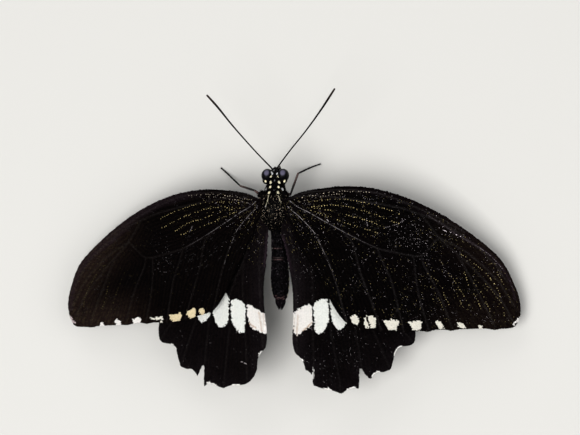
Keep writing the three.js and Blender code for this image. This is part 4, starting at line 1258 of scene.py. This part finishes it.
class BodyCoat(Coat):
    """The hairs and scales of the body, grown patch by patch."""

    def __init__(self, skin):
        super().__init__()
        self.skin = skin
        self.rng = np.random.default_rng(17)
        x, self.y, z = skin.points.T
        self.outward = unit(np.stack([x, np.zeros_like(x), z - THORAX_AXIS_Z], 1))
        self.depth, self.spot_colours = skin.spot_depth()
        self.plain = self.depth < -0.07  # clear of the pale spots

    def choose(self, chance):
        """Takes the points of the skin that the next patch grows on, by the chance of each."""
        self.index = np.flatnonzero(self.rng.random(len(self.skin.points)) < chance)
        self.points, self.normals = self.skin.points[self.index], self.skin.normals[self.index]

    def about(self, lie, noise):
        """The direction of each hair or scale, strewn about the lie."""
        return lie + self.rng.normal(0, noise, self.points.shape)

    def between(self, low, high):
        return self.rng.uniform(low, high, len(self.points))

    def random(self):
        """A random number for each, in a column that colours can be multiplied by."""
        return self.rng.random((len(self.points), 1))

    def grow(self, kind, along, width, length, lift, colours, raised=0.0):
        """Adds the patch. In the bake map, a root's place is how far it is round the trunk and along it."""
        x, y, z = self.points.T
        around = np.arctan2(x, z - TRUNK_AXIS_Z) / (2 * math.pi) + 0.5
        ahead = (y + 19) / 28
        self.add(kind, self.points + self.normals * raised, along, self.normals, width, length, lift, colours,
                 0.02 + 0.96 * np.stack([around, ahead], 1))

    def cover_thorax(self):
        """A pelt of long hairs, dark with golden ones among them."""
        for share, width, size, colour, low, high in (
            (0.15, 0.06, 0.85, CHITIN, 0.5, 2.0),
            (0.010, 0.03, 0.5, GOLD * 0.4 + DUST * 0.1, 0.05, 1.0),
        ):
            self.choose(share * self.skin.hairy * self.plain)
            along = self.about(REARWARD + 0.35 * self.outward[self.index], 0.22)
            colours = colour * (low + (high - low) * self.random() ** 2)
            self.grow("hair", along, width, size * self.between(0.7, 1.25), self.between(0.16, 0.34), colours)

    def strew_gold(self):
        """Short golden scales over the thorax and, sparser, down the front of the abdomen; the brightest of
        them are painted highlights.
        """
        height = self.skin.points[:, 2]
        share = 0.007 + 0.037 * step_up(-3.4, -1.4, self.y)
        share = share * step_up(-7, -4, self.y) * step_up(3.4, 2.6, self.y) * step_up(8, 11.5, height)
        self.choose(share * self.plain)
        # Mostly dim gold, and a few bright ones that are painted highlights.
        self.grow("scale", self.about(REARWARD, 0.4), 0.05, self.between(0.14, 0.26), 0.08,
                  (GOLD + DUST) * (0.01 + 1.4 * self.random() ** 3.5),
                  raised=0.1 + 0.12 * self.skin.hairy[self.index, None])

    def cover_head(self):
        """Short stiff hairs on head and collar, forward on the brow and the palps, and back behind."""
        self.choose(0.30 * step_up(3.2, 3.8, self.y) * self.plain)
        forward = step_up(6.2, 7.2, self.y[self.index])[:, None]
        along = self.about(REARWARD * (1 - 2 * forward) + 0.3 * self.outward[self.index], 0.25)
        self.grow("hair", along, 0.05, self.between(0.2, 0.4), self.between(0.08, 0.2),
                  CHITIN * (0.6 + 1.2 * self.random()))

    def cover_abdomen(self):
        """Flat scales in rows, each with its own shade of black and the rare bright ones painted glints, and
        off the pinkish ring lines where the skin faces up.
        """
        level = self.skin.normals[:, 2] > 0.45
        share = step_up(-3.6, -4.4, self.y) * self.plain
        for ring, _ in RING_SKIN_AND_HIGHLIGHTS:
            share = share * ~((self.y > ring - 0.08) & (self.y < ring + 0.36) & level)
        self.choose(0.19 * share)
        # Painted glints: a few scales far brighter than the rest.
        self.grow("scale", self.about(REARWARD, 0.12), 0.2, self.between(0.28, 0.4), self.between(0.04, 0.1),
                  CHITIN * (0.3 + 4.5 * self.random() ** 3 + 40 * self.random() ** 40))

    def cover_spots(self):
        """Dense short scales that make the pale spots stand a little proud."""
        self.choose(0.75 * (self.depth > -0.01))
        self.grow("scale", self.about(REARWARD, 0.2), 0.11, self.between(0.15, 0.24), 0.09,
                  self.spot_colours[self.index] * (0.8 + 0.3 * self.random()), raised=0.04)

    def cover_tip(self):
        """A few pale pinkish rough scales, the brightest of them a painted highlight, and a tuft of dark
        hairs round the claspers.
        """
        self.choose(0.035 * step_up(-15.9, -16.2, self.y) * step_up(-17.0, -16.7, self.y))
        self.grow("scale", self.about(REARWARD, 0.3), 0.13, self.between(0.15, 0.26), 0.09,
                  RING_PINK_AND_HIGHLIGHT * (0.4 + 3.5 * self.random() ** 3), raised=0.06)
        self.choose(0.12 * step_up(-15.9, -16.5, self.y))
        self.grow("hair", self.about(REARWARD, 0.2), 0.05, self.between(0.35, 0.7), self.between(0.05, 0.16),
                  PURPLE_BROWN * (0.15 + 0.6 * self.random()))


def build_body_coat(skin):
    coat = BodyCoat(skin)
    coat.cover_thorax()
    coat.strew_gold()
    coat.cover_head()
    coat.cover_abdomen()
    coat.cover_spots()
    coat.cover_tip()
    coat.build("body_coat", tinted_material("body_coat"), "body")


# ------------------------------------------------------------------ eyes, feelers, tongue

EYE_MIDDLE, EYE_RADII = (1.50, 6.54, 11.35), (1.14, 1.27, 1.45)
FACET_RISE = 0.008
# The eye's lavender is a painted reflection of the sky on its gloss.
EYE_BLACK, EYE_PAINTED_REFLECTION = (0.0012, 0.0012, 0.0016), (0.080, 0.074, 0.112)
ANTENNAE = {
    RIGHT: [
        (0.25, 7.4, 12.1), (0.67, 8.02, 12.4), (3.19, 11.04, 13.4), (6.6, 14.8, 14.7), (9.7, 18.6, 15.9),
        (12.6, 22.5, 17.2),
    ],
    LEFT: [
        (-0.25, 7.4, 12.1), (-0.6, 8.02, 12.4), (-3.37, 11.04, 13.4), (-7.18, 15.57, 14.9),
        (-10.0, 19.3, 16.2), (-11.95, 21.6, 17.0),
    ],
}
ANTENNA_RADII = [0.15, 0.135, 0.13, 0.13, 0.13, 0.14, 0.155, 0.18, 0.205, 0.17]  # from root to tip
ANTENNA_RINGS, ANTENNA_SIDES = 50, 12
ANTENNA_BULB = 0.22
CLUB_BROWN = (0.014, 0.008, 0.006)
COIL = dict(middle=(7.0, 7.75), inner=0.34, pitch=0.6, turns=1.9, radius=0.22)
COIL_ROOT = (0, 6.2, 9.9)
COIL_TAPER = [0, 0.03, 0.5, 1], [0.25, 0.6, 0.9, 1.0]
TONGUE_STEP, TONGUE_RING = 0.035, 5  # how far apart its points are, and how many of them make two rings
TONGUE_BROWN = (0.018, 0.010, 0.007)


def build_eyes():
    """Each eye is a bulging ball of raised facets, black with a painted lavender reflection of the sky above.
    """
    surface = Surface("eye_facets", 0.3, 0.04)
    place = surface.add("TexCoord", "Object")
    cells = surface.add("TexVoronoi", "Distance", {"Vector": place, "Scale": 16000})
    material = surface.finish(surface.attribute("tint"), cells, 0.12, 0.00001)
    for side, word in SIDE_WORDS.items():
        middle = EYE_MIDDLE * np.array([side, 1, 1])
        points, faces, coarse = ellipsoid(middle, EYE_RADII, 5)
        normals = unit((points - middle) / np.square(EYE_RADII))
        points[:coarse] += normals[:coarse] * FACET_RISE
        # Painted reflection: lavender where the eye faces the sky.
        toward_sky = unit(np.array([0.14 + 0.06 * side, 0.46, 0.86]))
        painted_reflection = step_up(0.80, 0.97, normals @ toward_sky)
        tint = blend(repeated(EYE_BLACK, len(points)), EYE_PAINTED_REFLECTION, painted_reflection)
        piece = build_mesh(f"eye_facets_{word}", points, faces, material, tint=tint)
        adopt(piece, "eye", f"eye_{word}")


def build_feelers():
    """Ringed antennae that thicken into a brownish club."""
    material = tinted_material("feeler_chitin")
    for side, word in SIDE_WORDS.items():
        path = even_steps(smooth_curve(ANTENNAE[side], 30), 0.065)
        share = np.linspace(0, 1, len(path))
        radii = np.interp(share, np.linspace(0, 1, len(ANTENNA_RADII)), ANTENNA_RADII)
        ring = (share * ANTENNA_RINGS) % 1
        radii = radii * (1 + 0.10 * ring - 0.12 * bell(ring, 0.15))
        radii *= np.sqrt(1 - np.clip(1 - (1 - share) / 0.012, 0, 1) ** 2) + 0.02  # a rounded tip
        feeler = tube(path, radii, sides=ANTENNA_SIDES)
        *bulb, _ = ellipsoid(path[1], [ANTENNA_BULB] * 3, 2)
        points, faces = join([feeler, bulb])
        # The feeler's rings, the two points at its ends, and the bulb at its root.
        rings = np.repeat(step_up(0.8, 1.0, share), ANTENNA_SIDES)
        brown = np.concatenate([rings, [0, 1], np.zeros(len(bulb[0]))])
        tint = blend(repeated(CHITIN, len(points)), CLUB_BROWN, brown)
        piece = build_mesh(f"feeler_{word}", points, faces, material, tint=tint)
        adopt(piece, "feeler", f"antenna_{word}")


def build_tongue():
    """The coiled, ringed proboscis."""
    material = tinted_material("tongue_chitin")
    turn = np.linspace(0, COIL["turns"], 400)
    reach = COIL["inner"] + COIL["pitch"] * turn
    angle = 2 * math.pi * (turn - COIL["turns"]) + math.pi / 2
    y, z = COIL["middle"]
    spiral = np.stack([np.zeros_like(turn), y + reach * np.cos(angle), z + reach * np.sin(angle)], 1)
    path = even_steps(smooth_curve(np.vstack([spiral[::12], COIL_ROOT]), 12), TONGUE_STEP)
    share = np.linspace(0, 1, len(path))
    radii = COIL["radius"] * np.interp(share, *COIL_TAPER)
    radii = radii * (1 - 0.07 * np.cos(share * len(path) * 2 * math.pi / TONGUE_RING) ** 2)
    points, faces = tube(path, radii, radii * 0.85, 20, up=(1, 0, 0))
    piece = build_mesh("tongue", points, faces, material, tint=repeated(TONGUE_BROWN, len(points)))
    adopt(piece, "feeler", "proboscis")


# ------------------------------------------------------------------ legs

# Joints of each leg on the butterfly's own side: hip, second joint, knee, ankle and three of the foot.
LEGS = {
    "fore_right": [
        (0.9, 3.4, 9.6), (1.1, 3.2, 7.6), (2.45, 2.9, 9.2), (2.7, 7.05, 3.2), (4.2, 8.0, 1.1),
        (5.5, 8.6, 0.25), (6.4, 8.9, 0.2),
    ],
    "fore_left": [
        (-0.9, 3.4, 9.6), (-1.6, 1.3, 7.4), (-4.35, 3.7, 9.6), (-8.6, 4.7, 3.7), (-11.0, 6.4, 1.2),
        (-12.5, 7.6, 0.25), (-13.2, 8.2, 0.2),
    ],
    "mid_right": [
        (1.1, 0.6, 9.0), (1.8, 0.6, 7.3), (6.4, -0.7, 9.2), (10.2, -2.4, 3.2), (12.0, -3.7, 1.1),
        (13.5, -4.8, 0.25), (14.3, -5.4, 0.2),
    ],
    "mid_left": [
        (-1.1, 0.6, 9.0), (-1.8, 0.6, 7.3), (-6.2, -0.5, 9.0), (-9.9, -1.9, 3.2), (-11.8, -3.0, 1.1),
        (-13.3, -4.0, 0.25), (-14.1, -4.6, 0.2),
    ],
    "hind_right": [
        (1.0, -1.8, 9.0), (1.5, -2.3, 7.4), (4.9, -5.8, 9.2), (7.2, -11.6, 3.5), (8.0, -14.3, 1.1),
        (8.6, -16.5, 0.25), (8.9, -17.5, 0.2),
    ],
    "hind_left": [
        (-1.0, -1.8, 9.0), (-1.5, -2.3, 7.4), (-5.1, -5.6, 9.0), (-7.8, -11.1, 3.5), (-8.8, -13.7, 1.1),
        (-9.6, -15.9, 0.25), (-10.0, -16.9, 0.2),
    ],
}
HIP, THIGH, SHIN, FOOT = 0, 1, 2, 3  # the numbers of a leg's bones. The foot has five, from FOOT on.
# The radii from end to end of each bone.
BONE_RADII = [[0.5, 0.6, 0.5, 0.32], [0.20, 0.30, 0.27, 0.18], [0.16, 0.20, 0.18, 0.17],
              [0.15, 0.16, 0.18], [0.13, 0.17], [0.12, 0.16], [0.12, 0.15], [0.11, 0.13, 0.15]]
FOOT_SHARES = [0, 0.42, 0.60, 0.74, 0.86, 1.0]  # where the foot's bones meet
SCALES_PER_MM = {HIP: 380, THIGH: 140, SHIN: 140, FOOT: 60}
SPINE_STEP = 0.22
SPINE_TURNS = [-math.pi / 2 - 0.6, -math.pi / 2 + 0.6]  # two rows beneath the bone
# Spurs and claws: how far ahead, aside and up their points are, and the radii at their ends.
SPUR = [(-0.25, 0.1, 0.0), (0.15, 0.3, 0.0), (0.6, 0.38, 0.0)]
CLAW = [(-0.06, 0.0, 0.0), (0.06, 0.12, 0.05), (0.18, 0.16, -0.02), (0.27, 0.16, -0.13)]
SPUR_RADII, CLAW_RADII = (0.07, 0.015), (0.06, 0.012)
LEG_BLACK = np.array([0.005, 0.004, 0.004])
# Pinkish grey on the upper sides of the legs: partly their own colour, partly a painted highlight.
LEG_PINK_AND_HIGHLIGHT = np.array([0.26, 0.16, 0.145])
# How much of that pink, part skin and part painted highlight, shows on a leg, and on each bone of it.
FORE_PINK, OTHER_PINK = 1.0, 0.15
BONE_PINK = {THIGH: 1, SHIN: 0.6}
BAKE_COLUMNS, BAKE_ROWS = 6.3, 8.5  # of the bake map, where each leg has a column and each bone a row


class Bone:
    """One length of a leg, with rounded ends."""

    def __init__(self, start, end, number, pink):
        self.start, self.along, self.number = start, end - start, number
        self.length = np.linalg.norm(self.along)
        self.aside = np.cross(unit(self.along), (0.0, 0.0, 1.0))
        self.up = np.cross(self.aside, unit(self.along))
        self.radii = BONE_RADII[number]
        self.pink = pink * BONE_PINK.get(number, 0)

    def radius(self, share):
        """The radius at each share of the length."""
        radius = smooth_curve([(value,) for value in self.radii], 8)[:, 0]
        radius = np.interp(share, np.linspace(0, 1, len(radius)), radius)
        end = np.minimum(share, 1 - share) * self.length / radius
        return radius * np.sqrt(1 - (1 - np.clip(end, 0, 1)) ** 2 * 0.97)

    def tint(self, share, rise, black, pink):
        """Black, and pinkish towards the far end where the surface faces up: the leg's own pink with a
        painted highlight.
        """
        bare = self.pink * step_up(0.2, 0.9, share + 0.5 * (self.number == THIGH)) * rise
        return blend(repeated(black, len(share)), pink, bare)

    def shell(self):
        """The bone itself, as points, faces and colours."""
        share = 0.5 - 0.5 * np.cos(np.linspace(0, math.pi, 22))
        path = self.start + share[:, None] * self.along
        points, faces = tube(path, self.radius(share), sides=14, up=self.up)
        share = (points - self.start) @ self.along / self.length**2
        # The upper side, which takes the painted highlight.
        rise = step_up(0.3, 0.9, (points - self.start) @ unit(self.up) / max(self.radii))
        return points, faces, self.tint(share, rise, LEG_BLACK, LEG_PINK_AND_HIGHLIGHT)

    def surface(self, share, turn, depth):
        """The places at these shares of the length and turns about it, at a depth of the radius, and their
        normals."""
        normal = unit(self.aside) * np.cos(turn)[:, None] + unit(self.up) * np.sin(turn)[:, None]
        reach = (self.radius(share) * depth)[:, None]
        return self.start + share[:, None] * self.along + normal * reach, normal

    def bake_places(self, column, share):
        column = column + np.zeros_like(share)
        return 0.02 + np.stack([column / BAKE_COLUMNS, (self.number + share) / BAKE_ROWS], 1)

    def add_scales(self, coat, tile, rng):
        """Flat scales all over the bone."""
        count = int(SCALES_PER_MM[min(self.number, FOOT)] * self.length)
        share, turn = rng.random(count), rng.random(count) * 2 * math.pi
        root, normal = self.surface(share, turn, 0.97)
        # The scales of the upper side take the painted highlight too.
        tint = self.tint(share, step_up(0.2, 0.9, np.sin(turn)), LEG_BLACK * 0.8, LEG_PINK_AND_HIGHLIGHT * 0.8)
        coat.add("scale", root, repeated(self.along, count), normal, 0.1, 0.2, 0.03,
                 tint * rng.uniform(0.5, 1.6, (count, 1)),
                 self.bake_places(tile + 0.9 * turn / (2 * math.pi), share))

    def add_spines(self, coat, tile):
        """Two rows of spines beneath the bone, where it is clear of the ground."""
        count = max(2, int(self.length / SPINE_STEP))
        share = np.tile((np.arange(count) + 0.5) / count, 2)
        root, normal = self.surface(share, np.repeat(SPINE_TURNS, count), 0.9)
        clear = root[:, 2] > 0.3
        count = clear.sum()
        coat.add("hair", root[clear], repeated(self.along, count), normal[clear], 0.06, 0.16, 0.12,
                 repeated(LEG_BLACK, count), self.bake_places(tile + 0.97, share[clear]))


def hook(base, ahead, side, shape, radii):
    """A small curved point beside the end of a leg."""
    aside = unit(np.cross(ahead, (0.0, 0.0, 1.0))) * side
    path = smooth_curve([base + ahead * x + aside * y + (0, 0, z) for x, y, z in shape], 4)
    points, faces = tube(path, np.linspace(*radii, len(path)), sides=8, up=(0.1, 0.2, 1))
    return points, faces, repeated(LEG_BLACK, len(points))


def build_legs():
    """Each leg in one mesh: its bones, a pair of spurs at the end of the shin on all but the forelegs, and a
    pair of claws.
    """
    material = tinted_material("leg_chitin")
    rng = np.random.default_rng(23)
    coat = Coat()
    for tile, (name, joints) in enumerate(LEGS.items()):
        joints = np.array(joints)
        is_foreleg = name.startswith("fore")
        foot = even_steps(smooth_curve(joints[FOOT:], 8), 0.05)
        cuts = foot[np.round(np.array(FOOT_SHARES) * (len(foot) - 1)).astype(int)]
        ends = [*joints[:FOOT], *cuts]
        parts = []
        for number, (start, end) in enumerate(zip(ends[:-1], ends[1:])):
            bone = Bone(start, end, number, FORE_PINK if is_foreleg else OTHER_PINK)
            parts.append(bone.shell())
            bone.add_scales(coat, tile, rng)
            if number >= SHIN:
                bone.add_spines(coat, tile)
        for side in (-1, 1):
            if not is_foreleg:
                parts.append(hook(joints[FOOT], unit(joints[FOOT] - joints[SHIN]), side, SPUR, SPUR_RADII))
            parts.append(hook(foot[-1], unit(foot[-1] - foot[-12]), side, CLAW, CLAW_RADII))
        points, faces = join([part[:2] for part in parts])
        points[:, 2] = np.maximum(points[:, 2], 0.0)
        tint = np.vstack([part[2] for part in parts])
        adopt(build_mesh(f"shell_leg_{name}", points, faces, material, tint=tint), "limb", f"leg_{name}")
    coat.build("leg_scales", tinted_material("leg_scales"), "limb")


# ------------------------------------------------------------------ stage, lights and camera

# The camera looks down from the butterfly's right, 12 degrees off the vertical, with its head at the top.
CAMERA_ROLL = math.radians(12)
CAMERA_DISTANCE = 400.0
AIM = np.array([0, 0, 12.0])  # the top of the thorax
AIM_PIXEL = (274.5, 210.0)
IMAGE_SIZE = (580, 435)
PIXELS_PER_MM = 5.3
SENSOR_WIDTH = 36.0
FLOOR_REACH = 3.0  # metres
# Each light's place, in metres, its size and its energy.
LIGHTS = {
    "key": ((-0.12, -0.14, 0.60), 0.40, 4.6),
    "fill": ((0.42, 0.02, 0.42), 0.5, 1.5),
    "rim": ((-0.10, 0.50, 0.35), 0.4, 0.8),
}
SKY, SKY_STRENGTH = (0.93, 0.96, 1.0, 1), 0.38


def build_camera():
    right = np.array([math.cos(CAMERA_ROLL), 0, -math.sin(CAMERA_ROLL)])
    up = np.array([0, 1.0, 0])
    back = np.array([math.sin(CAMERA_ROLL), 0, math.cos(CAMERA_ROLL)])
    aside = (AIM_PIXEL[0] - IMAGE_SIZE[0] / 2) / PIXELS_PER_MM
    above = (IMAGE_SIZE[1] / 2 - AIM_PIXEL[1]) / PIXELS_PER_MM
    eye = AIM + CAMERA_DISTANCE * back - aside * right - above * up
    view = bpy.data.cameras.new("camera")
    view.sensor_width = SENSOR_WIDTH
    view.lens = SENSOR_WIDTH * CAMERA_DISTANCE * PIXELS_PER_MM / IMAGE_SIZE[0]
    view.clip_start = 0.01
    view.clip_end = 20
    camera = add_object("camera", view)
    turn = Matrix((right, up, back)).transposed()
    camera.matrix_world = Matrix.Translation(Vector((eye + BODY_ORIGIN) * MM)) @ turn.to_4x4()
    bpy.context.scene.camera = camera


def build_floor():
    surface = Surface("pale_floor", 0.9, 0.1)
    surface.fill(surface.shader, {"Base Color": (0.50, 0.49, 0.465, 1)})
    mesh = bpy.data.meshes.new("floor")
    corners = [(x * FLOOR_REACH, y * FLOOR_REACH, 0) for x, y in ((-1, -1), (1, -1), (1, 1), (-1, 1))]
    mesh.from_pydata(corners, [], [(0, 1, 2, 3)])
    mesh.materials.append(surface.material)
    add_object("floor", mesh)


def build_lights():
    for name, (place, size, energy) in LIGHTS.items():
        light = bpy.data.lights.new(name, "AREA")
        light.size = size
        light.energy = energy
        lamp = add_object(name, light)
        lamp.location = place
        lamp.rotation_euler = (-Vector(place)).to_track_quat("-Z", "Y").to_euler()
    world = bpy.data.worlds.new("studio")
    world.use_nodes = True
    background = world.node_tree.nodes["Background"].inputs
    background["Color"].default_value = SKY
    background["Strength"].default_value = SKY_STRENGTH
    bpy.context.scene.world = world
    bpy.context.scene.view_settings.view_transform = "Standard"


build_wings()
body = BodySkin()
body.build()
build_body_coat(body)
build_eyes()
build_feelers()
build_tongue()
build_legs()
build_floor()
build_lights()
build_camera()
